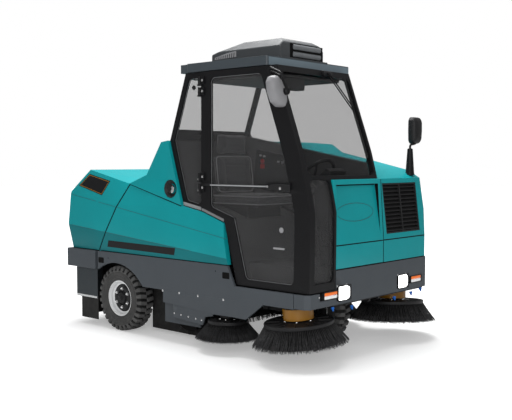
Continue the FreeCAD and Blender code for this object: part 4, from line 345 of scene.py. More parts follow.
# Near-black copy of the tyre rubber: painted shade between the tread blocks
TYRE_GROOVE_SHADE = rubber("tyre_groove_painted_shade", (0.006, 0.006, 0.006), (0.012, 0.012, 0.012))
LUG = rubber("tyre_lug", (0.060, 0.060, 0.060), (0.120, 0.119, 0.117))
FLAP = rubber("flap_rubber", (0.012, 0.012, 0.012), (0.030, 0.029, 0.028))
OCHRE = paint("ochre_paint", (0.33, 0.145, 0.006), roughness=0.4, coat=0.1, dust=0.03)
BLUE = plastic("blue_plastic", (0.008, 0.12, 0.50), roughness=0.35)
RED = lens("red_lens", (0.48, 0.015, 0.012))
AMBER = lens("amber_lens", (0.85, 0.16, 0.01), 0.25)
CLEAR = lens("clear_lens", (0.80, 0.81, 0.81), 0.2)
LIT = lens("lit_lamp", (1.0, 0.99, 0.96), 4.0)
GLASS = glass("window_glass", (0.095, 0.095, 0.097), 0.215)
# Windscreen: the window tint with a near-black film, painting shade on the cab seen through it
SCREEN_GLASS_SHADED = glass("screen_glass_painted_shade", (0.012, 0.012, 0.013), 0.215)
# Pale grey: painted highlight along the pane edges
PANE_EDGE_HIGHLIGHT = plastic("pane_edge_painted_highlight", (0.30, 0.31, 0.32), roughness=0.3)
CLOTH = fabric("seat_fabric", (0.060, 0.060, 0.064))
FRONT_BRISTLE = bristle("front_bristle", (0.014, 0.014, 0.015), (0.100, 0.100, 0.104), 0.12, 0.30)
MID_BRISTLE = bristle("mid_bristle", (0.012, 0.012, 0.013), (0.070, 0.070, 0.074), 0.09, 0.22)
MAIN_BRISTLE = bristle("main_bristle", (0.010, 0.010, 0.011), (0.035, 0.035, 0.037), 0.05, 0.42)
# Near black: the shells and cores among the bristles, as painted shade between them
BRISTLE_SHADE = plastic("bristle_painted_shade", (0.006, 0.006, 0.006), roughness=0.8, shine=0.1)


def add_piece(name, mesh, material, body, replaced=(), bevel=0.0, segments=2,
              smooth_deg=34.0):
    """Put a mesh in the scene as a piece that rides on a body."""
    materials = material if isinstance(material, (list, tuple)) else [material]
    for entry in materials:
        mesh.materials.append(entry)
    mesh.polygons.foreach_set("use_smooth", [True] * len(mesh.polygons))
    mesh.set_sharp_from_angle(angle=math.radians(smooth_deg))
    piece = bpy.data.objects.new(name, mesh)
    bpy.context.scene.collection.objects.link(piece)
    if bevel:
        modifier = piece.modifiers.new("edge", "BEVEL")
        modifier.width = bevel
        modifier.segments = segments
        modifier.limit_method = "ANGLE"
        modifier.angle_limit = math.radians(smooth_deg)
        modifier.harden_normals = True
        modifier.use_clamp_overlap = True
    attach(piece, body)
    if replaced:
        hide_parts(*replaced)
    return piece


def mesh_from(bm, name):
    bmesh.ops.recalc_face_normals(bm, faces=bm.faces)
    mesh = bpy.data.meshes.new(name)
    bm.to_mesh(mesh)
    bm.free()
    return mesh


def clean_copy(node):
    """The node's mesh with its facets merged into whole faces."""
    bm = bmesh.new()
    bm.from_mesh(NODES[node].data)
    bmesh.ops.remove_doubles(bm, verts=bm.verts, dist=2e-6)
    bmesh.ops.join_triangles(bm, faces=bm.faces, angle_face_threshold=math.radians(0.4),
                             angle_shape_threshold=math.radians(180))
    return bm


def dress(node, material, bevel=0.003, segments=2, smooth_deg=34.0, pick=None):
    """The node's own shape with eased edges and a finish.

    Pick gives each face's material from its middle."""
    bm = clean_copy(node)
    if pick:
        for face in bm.faces:
            face.material_index = pick(face.calc_center_median())
    mesh = mesh_from(bm, node + "_look")
    return add_piece(node + "_look", mesh, material, NODE_BODY[node], [node],
                     bevel, segments, smooth_deg)


def made(name, build, material, body, replaced=(), bevel=0.0, segments=2, smooth_deg=34.0):
    """A new piece from a function that fills a bmesh."""
    bm = bmesh.new()
    build(bm)
    return add_piece(name, mesh_from(bm, name), material, body, replaced, bevel, segments,
                     smooth_deg)


def built(name, material, body, shapes, replaced=(), bevel=0.0, segments=1,
          smooth_deg=34.0):
    """A new piece from shapes, each given as its function and that function's values."""
    def build(bm):
        for shape, *values in shapes:
            shape(bm, *values)
    return made(name, build, material, body, replaced, bevel, segments, smooth_deg)


def add_box(bm, low, high):
    v = [bm.verts.new((x, y, z)) for x in (low[0], high[0]) for y in (low[1], high[1])
         for z in (low[2], high[2])]
    for face in ((0, 1, 3, 2), (4, 6, 7, 5), (0, 4, 5, 1), (2, 3, 7, 6), (0, 2, 6, 4),
                 (1, 5, 7, 3)):
        bm.faces.new([v[i] for i in face])


def axis_frame(axis):
    """An axis and two directions across it."""
    axis = Vector(axis).normalized()
    across = axis.cross(Z) if abs(axis.z) < 0.9 else axis.cross(X)
    across.normalize()
    return axis, across, axis.cross(across)


def add_lathe(bm, centre, axis, profile, sides=32, capped=True):
    """Turned shape: a profile of (distance along the axis, radius)."""
    axis, across, up = axis_frame(axis)
    centre = Vector(centre)
    rings = []
    for along, radius in profile:
        ring = []
        for index in range(sides):
            turn = 2 * math.pi * index / sides
            out = across * math.cos(turn) + up * math.sin(turn)
            ring.append(bm.verts.new(centre + axis * along + out * radius))
        rings.append(ring)
    join_rings(bm, rings if capped else rings + rings[:1])
    if capped:
        bm.faces.new(rings[0])
        bm.faces.new(rings[-1][::-1])


def join_rings(bm, rings):
    for first, second in zip(rings, rings[1:]):
        for index in range(len(first)):
            after = (index + 1) % len(first)
            bm.faces.new([first[index], first[after], second[after], second[index]])


def add_rod(bm, start, end, radius, sides=12):
    """Round bar."""
    start, end = Vector(start), Vector(end)
    add_lathe(bm, start, end - start, [(0, radius), ((end - start).length, radius)], sides)


def rounded_path(points, turn_radius, steps=5):
    """A route with each corner rounded."""
    points = [Vector(p) for p in points]
    route = [points[0]]
    for before, corner, after in zip(points, points[1:], points[2:]):
        back, ahead = before - corner, after - corner
        reach = min(turn_radius, back.length * 0.45, ahead.length * 0.45)
        start = corner + back.normalized() * reach
        end = corner + ahead.normalized() * reach
        for step in range(steps + 1):
            t = step / steps
            route.append(start * (1 - t) ** 2 + corner * 2 * t * (1 - t) + end * t * t)
    route.append(points[-1])
    return route


def add_tube(bm, points, radius, turn_radius=0.03, sides=10, closed=False):
    """Bent tube along a route with rounded corners."""
    route = [Vector(p) for p in points] if closed else rounded_path(points, turn_radius)
    count = len(route)
    axis, across, up = axis_frame(route[1] - route[0])
    rings = []
    for index, point in enumerate(route):
        if closed:
            ahead = route[(index + 1) % count] - route[index - 1]
        else:
            ahead = route[min(index + 1, count - 1)] - route[max(index - 1, 0)]
        ahead.normalize()
        across = (across - ahead * across.dot(ahead)).normalized()
        up = ahead.cross(across)
        rings.append([bm.verts.new(point + (across * math.cos(t) + up * math.sin(t)) * radius)
                      for t in (2 * math.pi * i / sides for i in range(sides))])
    join_rings(bm, rings + rings[:1] if closed else rings)
    if not closed:
        bm.faces.new(rings[0])
        bm.faces.new(rings[-1][::-1])


def add_prism(bm, points, direction):
    """Flat outline of 3-D points pulled along a direction."""
    direction = Vector(direction)
    low = [bm.verts.new(p) for p in points]
    high = [bm.verts.new(Vector(p) + direction) for p in points]
    bm.faces.new(low)
    bm.faces.new(high[::-1])
    for index in range(len(points)):
        after = (index + 1) % len(points)
        bm.faces.new([low[index], low[after], high[after], high[index]])


def add_side_plate(bm, outline, y, depth):
    """Plate with an outline in the side view, from a place across, with a depth along Y."""
    add_prism(bm, [(x, y, z) for x, z in outline], (0, depth, 0))


def add_front_plate(bm, outline, x, depth):
    """Plate with an outline in the front view, from a place along, with a depth along X."""
    add_prism(bm, [(x, y, z) for y, z in outline], (depth, 0, 0))


def box_outline(low_a, low_b, high_a, high_b):
    return [(low_a, low_b), (high_a, low_b), (high_a, high_b), (low_a, high_b)]


def fillet_points(corner, toward_a, toward_b, radius, steps=6):
    """Arc that rounds a corner between two directions, from the first to the second."""
    a, b = Vector(toward_a).normalized(), Vector(toward_b).normalized()
    half = a.angle(b) / 2
    reach = radius / math.tan(half)
    centre = Vector(corner) + (a + b).normalized() * radius / math.sin(half)
    start, end = Vector(corner) + a * reach - centre, Vector(corner) + b * reach - centre
    total = start.angle(end)
    points = []
    for step in range(steps + 1):
        t = step / steps
        first = math.sin((1 - t) * total) / math.sin(total)
        second = math.sin(t * total) / math.sin(total)
        points.append(centre + start * first + end * second)
    return points


def add_corner_fill(bm, corner, toward_a, toward_b, radius, depth):
    """Web that rounds the inner corner of a window opening."""
    arc = fillet_points(corner, toward_a, toward_b, radius)
    add_prism(bm, [Vector(corner)] + arc, depth)


def rounded_loop(points, radius, sharp_deg=160.0):
    """Closed 3-D outline with its sharper corners rounded."""
    count = len(points)
    result = []
    for index in range(count):
        corner = Vector(points[index])
        a = Vector(points[index - 1]) - corner
        b = Vector(points[(index + 1) % count]) - corner
        angle = math.degrees(a.angle(b))
        reach = radius / math.tan(math.radians(angle) / 2)
        if angle > sharp_deg or reach > 0.6 * min(a.length, b.length):
            result.append(corner)
        else:
            result.extend(fillet_points(corner, a, b, radius))
    return result


def bolts(name, places, axis, body, radius, height):
    """Domed bolt heads on washers, proud of a surface along an axis."""
    profile = [(0, radius * 1.3), (height * 0.25, radius * 1.3), (height * 0.25, radius),
               (height * 0.7, radius * 0.92), (height, radius * 0.5)]
    return built(name, BOLT, body,
                 [(add_lathe, place, axis, profile, 16) for place in places])


def place_camera():
    data = bpy.data.cameras.new("camera")
    data.lens = CAMERA_LENS
    data.sensor_width = 36.0
    camera = bpy.data.objects.new("camera", data)
    bpy.context.scene.collection.objects.link(camera)
    yaw, pitch = math.radians(CAMERA_YAW_DEG), math.radians(CAMERA_PITCH_DEG)
    forward = Vector((math.cos(yaw) * math.cos(pitch), math.sin(yaw) * math.cos(pitch),
                      math.sin(pitch)))
    turn = forward.to_track_quat("-Z", "Y").to_matrix().to_4x4()
    roll = Matrix.Rotation(math.radians(CAMERA_ROLL_DEG), 4, "Z")
    camera.matrix_world = Matrix.Translation(CAMERA_PLACE) @ turn @ roll
    bpy.context.scene.camera = camera


def make_world():
    """Soft even light for surfaces, plain white for what is seen directly."""
    world = bpy.data.worlds.new("studio")
    world.use_nodes = True
    bpy.context.scene.world = world
    nodes, links = world.node_tree.nodes, world.node_tree.links
    path = nodes.new("ShaderNodeLightPath")
    seen = nodes.new("ShaderNodeMath")
    seen.operation = "MAXIMUM"
    links.new(path.outputs["Is Camera Ray"], seen.inputs[0])
    links.new(path.outputs["Is Transmission Ray"], seen.inputs[1])
    strength = nodes.new("ShaderNodeMapRange")
    strength.inputs["To Min"].default_value = 0.38
    strength.inputs["To Max"].default_value = 1.0
    links.new(seen.outputs["Value"], strength.inputs["Value"])
    background = nodes["Background"]
    background.inputs["Color"].default_value = (1, 1, 1, 1)
    links.new(strength.outputs["Result"], background.inputs["Strength"])


def add_area(name, place, aim, size, energy):
    data = bpy.data.lights.new(name, "AREA")
    data.shape = "DISK"
    data.size = size
    data.energy = energy
    light = bpy.data.objects.new(name, data)
    bpy.context.scene.collection.objects.link(light)
    aim_at = (Vector(aim) - Vector(place)).to_track_quat("-Z", "Y")
    light.matrix_world = Matrix.Translation(place) @ aim_at.to_matrix().to_4x4()


def make_lights():
    add_area("overhead", (-0.6, 0.4, 5.5), (0, 0, 0), 4.5, 430)
    add_area("front_fill", (5.0, -5.5, 2.6), (0.4, -0.2, 0.8), 4.0, 190)


def make_floor():
    """Wide pale floor that keeps the shadow near the object and runs into the white behind."""
    s = Shader("floor")
    s.link(s.ramp(s.noise(0.7, 3.0), (0.2, (0.80, 0.80, 0.80)), (0.8, (0.82, 0.82, 0.82))),
           "Base Color")
    s.set(Roughness=0.9, Specular_IOR_Level=0.1)
    distance = s.add("ShaderNodeVectorMath", operation="LENGTH")
    s.links.new(s.place, distance.inputs[0])
    far = s.add("ShaderNodeMapRange")
    far.inputs["From Min"].default_value = 2.0
    far.inputs["From Max"].default_value = 4.5
    s.links.new(distance.outputs["Value"], far.inputs["Value"])
    lift = s.spread(far.outputs["Result"], 0.34, 1.0)
    path = s.add("ShaderNodeLightPath")
    s.set(Emission_Color=(1, 1, 1, 1))
    s.link(s.product(lift, path.outputs["Is Camera Ray"]), "Emission Strength")

    bm = bmesh.new()
    ring = [bm.verts.new((40 * math.cos(t), 40 * math.sin(t), 0))
            for t in (2 * math.pi * i / 96 for i in range(96))]
    bm.faces.new(ring)
    mesh = mesh_from(bm, "floor")
    mesh.materials.append(s.material)
    floor = bpy.data.objects.new("floor", mesh)
    bpy.context.scene.collection.objects.link(floor)


# Middle of each side brush's tips, on the left, and the front brushes' tilt
FRONT_BRUSH_X, FRONT_BRUSH_Y, FRONT_BRUSH_Z = 1.0525, 0.586, 0.135
MID_BRUSH_X, MID_BRUSH_Y, MID_BRUSH_Z = 0.413892, 0.648, 0.092
BRUSH_PITCH_DEG, BRUSH_CAMBER_DEG = -3.2, -3.7


def brush_matrix(side):
    """Placement of a front brush, tilted by its camber and pitch."""
    pitch = Matrix.Rotation(math.radians(BRUSH_PITCH_DEG), 4, "Y")
    camber = Matrix.Rotation(math.radians(BRUSH_CAMBER_DEG * side), 4, "X")
    place = Matrix.Translation((FRONT_BRUSH_X, side * FRONT_BRUSH_Y, FRONT_BRUSH_Z))
    return place @ pitch @ camber


PAINTED_NODES = ("hopper_cover", "side_panels", "rear_fairing", "front_cowl", "engine_hood",
                 "engine_door")
# Node, finish, edge radius, edge segments
FINISHES = (("side_skirts", GREY, 0.004, 2), ("rear_bumper", GREY, 0.004, 2),
            ("front_bumper", GREY, 0.004, 2), ("hopper_plates", PLATE_GREY, 0.004, 2),
            ("brush_housing", GREY, 0.002, 2), ("cab_roof", SLATE, 0.012, 3),
            ("air_conditioner", UNIT, 0.014, 3), ("cab_frame", BLACK, 0.004, 2),
            ("door_frame", BLACK, 0.004, 2), ("cab_tub", INTERIOR, 0.003, 2),
            ("hopper_bin", CHASSIS, 0.002, 2), ("chassis_frame", CHASSIS, 0.002, 2),
            ("front_fork", CHASSIS, 0.003, 2), ("rear_axles", CHASSIS, 0.002, 2),
            ("engine_block", CAST, 0.012, 3), ("dashboard", MOULDED, 0.010, 3),
            ("seat_base", MOULDED, 0.006, 2), ("steering_wheel", MOULDED, 0.0, 0),
            ("windscreen", SCREEN_GLASS_SHADED, 0.0, 0), ("side_windows", GLASS, 0.0, 0),
            ("door_glass", GLASS, 0.0, 0))
SHADED_FACET_MIN_Y, SHADED_FACET_FRONT_X = 0.74, 0.53


def shaded_low_facet(middle):
    """1 on the teal sides below the lower crease, where the darker teal paints shade, else 0."""
    return int(abs(middle.y) > SHADED_FACET_MIN_Y and middle.x < SHADED_FACET_FRONT_X
               and middle.z < line_z(LOW_CREASE, middle.x))


def body_panels():
    """CAD parts in their own shape, with eased edges and their finishes, and painted shade on the
    teal sides below the lower crease.
    """
    for node in PAINTED_NODES:
        # Faces below the lower crease take the darker teal as painted shade
        dress(node, [TEAL, TEAL_SHADED], 0.005, 3, pick=shaded_low_facet)
    for node, material, bevel, segments in FINISHES:
        dress(node, material, bevel, segments)


# Lug height, lug count, and how far in from the lugs' roots the carcass takes the painted groove
# shade
LUG_HEIGHT, LUG_COUNT, GROOVE_SHADE_DEPTH = 0.016, 30, 0.030


def tyre_piece(name, x, y, body):
    """Block-tread tyre with ringed sidewalls."""
    radius, half, shoulder, bead = WHEEL_Z, 0.080, 0.026, 0.148
    base = radius - LUG_HEIGHT
    sidewall = [(bead, half - 0.013), (bead + 0.004, half - 0.006), (bead + 0.012, half - 0.004),
                (bead + 0.018, half - 0.006), (bead + 0.022, half - 0.003),
                (bead + 0.036, half - 0.001), (bead + 0.042, half - 0.003),
                (bead + 0.046, half), (bead + 0.062, half), (bead + 0.066, half - 0.003),
                (base - shoulder * 0.9, half - 0.002), (base - 0.010, half - 0.011),
                (base - 0.002, half - 0.022), (base, half - 0.034)]
    profile = [(across, r) for r, across in sidewall]
    profile += [(-across, r) for r, across in reversed(sidewall)]

    def build(bm):
        add_lathe(bm, (x, y, WHEEL_Z), Y, profile, 90, capped=False)
        for face in bm.faces:
            middle = face.calc_center_median() - Vector((x, y, WHEEL_Z))
            # Carcass faces near the tread, between and under the lugs, take the near-black rubber
            # as painted shade
            face.material_index = int(middle.xz.length > base - GROOVE_SHADE_DEPTH)
        carcass = set(bm.faces)
        pitch = 2 * math.pi / LUG_COUNT
        for index in range(LUG_COUNT):
            for side in (-1, 1):
                add_lug(bm, side, (index + side * 0.25) * pitch, pitch)
        for face in bm.faces:
            if face not in carcass:
                face.material_index = 2

    def add_lug(bm, side, turn, pitch):
        """One tread block: across the tread from the middle, bent down over the shoulder."""
        spine = [(0.004, radius), (0.040, radius), (0.066, radius - 0.003),
                 (0.077, radius - 0.020), (0.0795, radius - 0.044)]
        roots = [(0.004, base - 0.004), (0.040, base - 0.004), (0.058, base - 0.006),
                 (0.064, base - 0.020), (0.070, base - 0.046)]
        halves = [0.27, 0.28, 0.28, 0.27, 0.22]
        skews = [0.16, 0.04, 0.0, 0.0, 0.0]
        rings = []
        for (top_y, top_r), (root_y, root_r), wide, skew in zip(spine, roots, halves, skews):
            ring = []
            for across, r, grow in ((-1, root_r, 1.12), (-1, top_r, 1.0), (1, top_r, 1.0),
                                    (1, root_r, 1.12)):
                angle = turn + (across * wide * grow + skew) * pitch
                place_y = top_y if r == top_r else root_y
                ring.append(bm.verts.new((x + r * math.sin(angle), y + side * place_y,
                                          WHEEL_Z + r * math.cos(angle))))
            rings.append(ring)
        join_rings(bm, rings)
        bm.faces.new(rings[0])
        bm.faces.new(rings[-1][::-1])
    return made(name, build, [TYRE, TYRE_GROOVE_SHADE, LUG], body,
                [name.replace("_look", "")], 0.0018, 1, 30)


def rim_piece(name, x, y, outward, body):
    """Silver dished rim with its flange, wheel bolts and a black hub."""
    out = Y * outward
    z = WHEEL_Z
    disc = 0.0192

    def at(along, radius, turn):
        return Vector((x + radius * math.sin(turn), y, z + radius * math.cos(turn))) + out * along

    def build(bm):
        flange = [(0.067, 0.1475), (0.067, 0.139), (0.058, 0.137), (0.052, 0.131), (0.034, 0.128),
                  (0.030, 0.122), (disc + 0.007, 0.116), (disc + 0.007, 0.105),
                  (disc + 0.020, 0.092), (disc + 0.020, 0.064), (disc + 0.004, 0.060),
                  (disc - 0.007, 0.060), (disc + 0.002, 0.090), (disc - 0.007, 0.106),
                  (disc - 0.007, 0.118), (-0.040, 0.128), (-0.067, 0.138), (-0.067, 0.1475)]
        add_lathe(bm, (x, y, z), out, flange, 72, capped=False)
    rim = made(name, build, RIM, body, [name.replace("_look", "")], 0.0012, 1)

    def build_dish(bm):
        add_lathe(bm, (x, y, z), out, [(disc + 0.0075, 0.1155), (disc + 0.0085, 0.104),
                                       (disc + 0.0215, 0.0915), (disc + 0.0215, 0.063),
                                       (disc + 0.004, 0.058), (-0.02, 0.058)], 64)
        for index in range(12):
            turn = 2 * math.pi * (index + 0.5) / 12
            add_lathe(bm, at(disc + 0.0075, 0.1095, turn), out,
                      [(0, 0.0045), (0.003, 0.0045), (0.004, 0.003)], 8)
    made(name + "_dish", build_dish, MOULDED, body, (), 0.001, 1)

    def build_hub(bm):
        add_lathe(bm, (x, y, z), out, [(-0.056, 0.062), (0.030, 0.062), (0.036, 0.050),
                                       (0.052, 0.046), (0.056, 0.040), (0.056, 0.022),
                                       (0.051, 0.020)], 40)
        add_lathe(bm, (x, y, z), out, [(0.051, 0.019), (0.061, 0.018), (0.064, 0.012)], 6)
    made(name + "_hub", build_hub, CHASSIS, body, (), 0.0015, 2)
    places = [at(disc + 0.0215, 0.077, 2 * math.pi * index / 6) for index in range(6)]
    bolts(name + "_nuts", places, out, body, 0.0095, 0.016)
    return rim


def wheels():
    tyre_piece("rear_tyre_right_look", REAR_WHEEL_X, -REAR_WHEEL_Y, "rear_wheel_right")
    tyre_piece("rear_tyre_left_look", REAR_WHEEL_X, REAR_WHEEL_Y, "rear_wheel_left")
    tyre_piece("front_tyre_look", FRONT_WHEEL_X, 0.0, "front_wheel")
    rim_piece("rear_rim_right_look", REAR_WHEEL_X, -REAR_WHEEL_Y, -1, "rear_wheel_right")
    rim_piece("rear_rim_left_look", REAR_WHEEL_X, REAR_WHEEL_Y, 1, "rear_wheel_left")
    rim_piece("front_rim_look", FRONT_WHEEL_X, 0.0, -1, "front_wheel")


def hair_mesh(name, hairs, thickness):
    """Tapered three-sided bristles, each through a row of points."""
    points, faces = [], []
    for hair in hairs:
        axis, across, up = axis_frame(hair[-1] - hair[0])
        base = len(points)
        for level, point in enumerate(hair):
            size = thickness * (1.0 - 0.45 * level / (len(hair) - 1))
            for turn in (0.0, 2.0944, 4.1888):
                points.append(point + (across * math.cos(turn) + up * math.sin(turn)) * size)
        for level in range(len(hair) - 1):
            for corner in range(3):
                after = (corner + 1) % 3
                low, high = base + level * 3, base + level * 3 + 3
                faces.append((low + corner, low + after, high + after, high + corner))
        top = base + 3 * (len(hair) - 1)
        faces.append((top, top + 1, top + 2))
    mesh = bpy.data.meshes.new(name)
    mesh.from_pydata([tuple(p) for p in points], [], faces)
    mesh.update()
    return mesh


def disc_brush(node, body, place, tip_radius, disc_radius, height, count, thickness, material,
               seed):
    """Side brush: ribbed plate, rim, hub and rings of flared bristles."""
    dice = random.Random(seed)
    inner_top = disc_radius * 0.62
    inner_tip = tip_radius - (disc_radius - inner_top)
    hairs = []
    for index in range(count):
        ring = (index % 5) / 4
        turn = 2 * math.pi * (index + dice.uniform(-0.4, 0.4)) / count * 5
        root_r = inner_top + (disc_radius - inner_top - 0.004) * ring
        length = dice.uniform(0.90, 1.0)
        tip_r = inner_tip + (tip_radius - inner_tip) * (ring * 0.93 + dice.uniform(0, 0.06))
        lean = dice.uniform(-0.05, 0.05)
        hair = []
        for share in (0.0, 0.55, 1.0):
            reach = share * length
            r = root_r + (tip_r - root_r) * (reach ** 1.25)
            z = height * (1 - reach) + 0.006 * math.sin(math.pi * share)
            hair.append(place @ Vector((r * math.cos(turn + lean * share),
                                        r * math.sin(turn + lean * share), z)))
        hairs.append(hair)
    add_piece(node + "_bristles", hair_mesh(node + "_bristles", hairs, thickness), material, body,
              [node], smooth_deg=180)

    # Near-black shell inside the bristle rings: painted shade among the bristles
    def build_core(bm):
        gap = 0.012
        add_lathe(bm, (0, 0, 0), Z, [
            (height, inner_top * 0.8), (0.014, inner_tip + 0.004), (0.010, inner_tip + 0.030),
            (0.020, tip_radius - 0.045), (height * 0.5, (tip_radius + disc_radius) / 2 - gap * 2),
            (height, disc_radius - gap)], 64, capped=False)
        bm.transform(place)
    made(node + "_shade_core", build_core, BRISTLE_SHADE, body, (), 0, 0, 60)

    def build_plate(bm):
        top = height + 0.026
        add_lathe(bm, (0, 0, 0), Z, [
            (height - 0.002, inner_top * 0.7), (height - 0.002, disc_radius - 0.002),
            (height + 0.004, disc_radius), (top - 0.008, disc_radius),
            (top - 0.004, disc_radius - 0.003), (top - 0.004, disc_radius - 0.014),
            (top - 0.012, disc_radius - 0.020),
            (top - 0.012, disc_radius * 0.60), (top, disc_radius * 0.50), (top, 0.062),
            (top - 0.01, 0.058)], 72)
        for index in range(12):
            turn = Matrix.Rotation(2 * math.pi * index / 12, 4, "Z")
            rib = bmesh.new()
            add_box(rib, (disc_radius * 0.55, -0.004, top - 0.014),
                    (disc_radius - 0.016, 0.004, top - 0.004))
            rib.transform(turn)
            merge(bm, rib)
        add_lathe(bm, (0, 0, 0), Z, [(height, 0.0215), (height + 0.050, 0.0215)], 24)
        bm.transform(place)
    made(node + "_plate", build_plate, MOULDED, body, (), 0.0012, 2)
    head = [place @ Vector((disc_radius * 0.42 * math.cos(t), disc_radius * 0.42 * math.sin(t),
                            height + 0.026)) for t in (2 * math.pi * i / 6 for i in range(6))]
    bolts(node + "_bolts", head, place.to_3x3() @ Z, body, 0.008, 0.006)


def merge(bm, other):
    """Add another bmesh's faces."""
    moved = {v: bm.verts.new(v.co) for v in other.verts}
    for face in other.faces:
        bm.faces.new([moved[v] for v in face.verts])
    other.free()


def brushes():
    """Front and middle side brushes."""
    for index, (name, side) in enumerate(SIDES):
        node = "front_brush_" + name
        disc_brush(node, node, brush_matrix(side), 0.345, 0.246, 0.140, 3300, 0.0016,
                   FRONT_BRISTLE, 11 + index)
        node = "mid_brush_" + name
        middle = Matrix.Translation((MID_BRUSH_X, side * MID_BRUSH_Y, MID_BRUSH_Z))
        disc_brush(node, node, middle, 0.250, 0.150, 0.118, 2300, 0.0015, MID_BRISTLE,
                   21 + index)


def main_brush():
    """Cylinder brush: spiral rows of tufts on a near-black core with end discs and a shaft; the
    core stands out among the tufts as their painted shade.
    """
    dice = random.Random(5)
    x, z, half = -0.020, 0.236, 0.640
    root, tip_radius, rows, tufts = 0.10, 0.188, 12, 150
    hairs = []
    for row in range(rows):
        for tuft in range(tufts):
            share = (tuft + 0.5) / tufts
            y = -half + 2 * half * share
            turn = 2 * math.pi * row / rows + share * 1.4
            for _ in range(2):
                angle = turn + dice.uniform(-0.10, 0.10)
                tip = angle + dice.uniform(-0.05, 0.05)
                reach = tip_radius * dice.uniform(0.965, 0.998)
                across = y + dice.uniform(-0.003, 0.003)
                hairs.append([
                    Vector((x + root * math.sin(angle), across, z + root * math.cos(angle))),
                    Vector((x + reach * math.sin(tip), across, z + reach * math.cos(tip)))])
    add_piece("main_brush_bristles", hair_mesh("main_brush_bristles", hairs, 0.0022),
              MAIN_BRISTLE, "main_brush", ["main_brush"], smooth_deg=180)

    def build(bm):
        add_lathe(bm, (x, 0, z), Y, [(-half, 0.150), (half, 0.150)], 40)
        add_lathe(bm, (x, 0, z), Y, [(-0.700, 0.024), (0.700, 0.024)], 24)
    made("main_brush_shade_core", build, BRISTLE_SHADE, "main_brush", (), 0.002, 1)


def add_pane_edge_highlight(bm, outline, y_low, y_high, width, radius):
    """Pale line round a pane: painted highlight along the edge of its rounded corners, seen
    through the tint.
    """
    outer = rounded_loop([(x, y_low, z) for x, z in inset(outline, 0.010)], radius)
    inner = rounded_loop([(x, y_low, z) for x, z in inset(outline, 0.010 + width)],
                         radius - width)
    depth = Y * (y_high - y_low)
    rings = [[bm.verts.new(p + shift) for p in loop]
             for loop, shift in ((outer, Vector()), (inner, Vector()), (inner, depth),
                                 (outer, depth))]
    join_rings(bm, rings + rings[:1])


def door_outline():
    rear_x, top_z = POST_X + 0.006, CAB_TOP_Z - 0.006
    start_z = line_z(CAB_BASE[1:3], rear_x) + 0.006
    lower = [(x + 0.006, z + 0.006) for x, z in CAB_BASE[2:]]
    front = [(x, min(z, top_z)) for x, z in CAB_FRONT]
    return [(rear_x, start_z)] + lower + front + [(rear_x, top_z)]


def opening_corners(bm, outline, y_low, depth, radius, sharp_deg=155.0):
    """Webs that round each sharper corner of a side opening."""
    for index, (x, z) in enumerate(outline):
        corner = Vector((x, y_low, z))
        before, after = outline[index - 1], outline[(index + 1) % len(outline)]
        a = Vector((before[0], y_low, before[1])) - corner
        b = Vector((after[0], y_low, after[1])) - corner
        if math.degrees(a.angle(b)) < sharp_deg:
            size = min(radius, 0.4 * min(a.length, b.length) * math.tan(a.angle(b) / 2))
            add_corner_fill(bm, corner, a, b, size, Y * depth)


def door_window():
    """Outline of the opening that the door's pane fills."""
    whole = inset(door_outline(), DOOR_BORDER)
    return [(x + (DOOR_REAR_STILE if x < DOOR_MIDDLE_X else -DOOR_FRONT_STILE), z)
            for x, z in whole]


def door_trim():
    """Rounded pane corners, painted highlight on the pane edge, grab rod, handle and lock of the
    cab door.
    """
    pane = door_window()
    built("door_corner_webs", BLACK, "door",
          [(opening_corners, pane, DOOR_OUTER_Y + 0.001, 0.0287, PANE_RADIUS)], bevel=0.0015)
    built("door_pane_edge_highlights", PANE_EDGE_HIGHLIGHT, "door",
          [(add_pane_edge_highlight, inset(pane, -PANE_LAP), -0.7392, -0.7384, 0.0035, PANE_RADIUS)])
    rod_y, foot_y = -0.7625, -0.752
    built("door_grab_rod", SILVER, "door",
          [(add_tube, [(0.345, foot_y, ROD_Z), (0.345, rod_y, ROD_Z), (0.905, rod_y, ROD_Z),
                       (0.905, foot_y, ROD_Z)], 0.0048, 0.008)])
    handle = [(0.884, 1.2100), (0.930, 1.2400), (1.000, 1.2440), (1.095, 1.2400),
              (1.098, 1.1990), (0.960, 1.2010)]
    built("door_handle", MOULDED, "door",
          [(add_side_plate, handle, -0.756, -0.013)], bevel=0.004, segments=3)
    built("door_lock", BOLT, "door",
          [(add_lathe, (1.015, -0.7690, 1.2160), -Y, [(0, 0.010), (0.002, 0.010),
                                                      (0.003, 0.007)], 20),
           (add_lathe, (0.902, -0.7680, 1.2260), -Y, [(0, 0.008), (0.003, 0.008)], 14)])
    built("door_pane_fittings", PALE, "door",
          [(add_lathe, (1.005, -0.7395, 0.930), -Y, [(0, 0.019), (0.004, 0.019),
                                                     (0.006, 0.014)], 20),
           (add_box, (0.930, -0.7395, 0.795), (1.030, -0.7365, 0.809))], bevel=0.001)


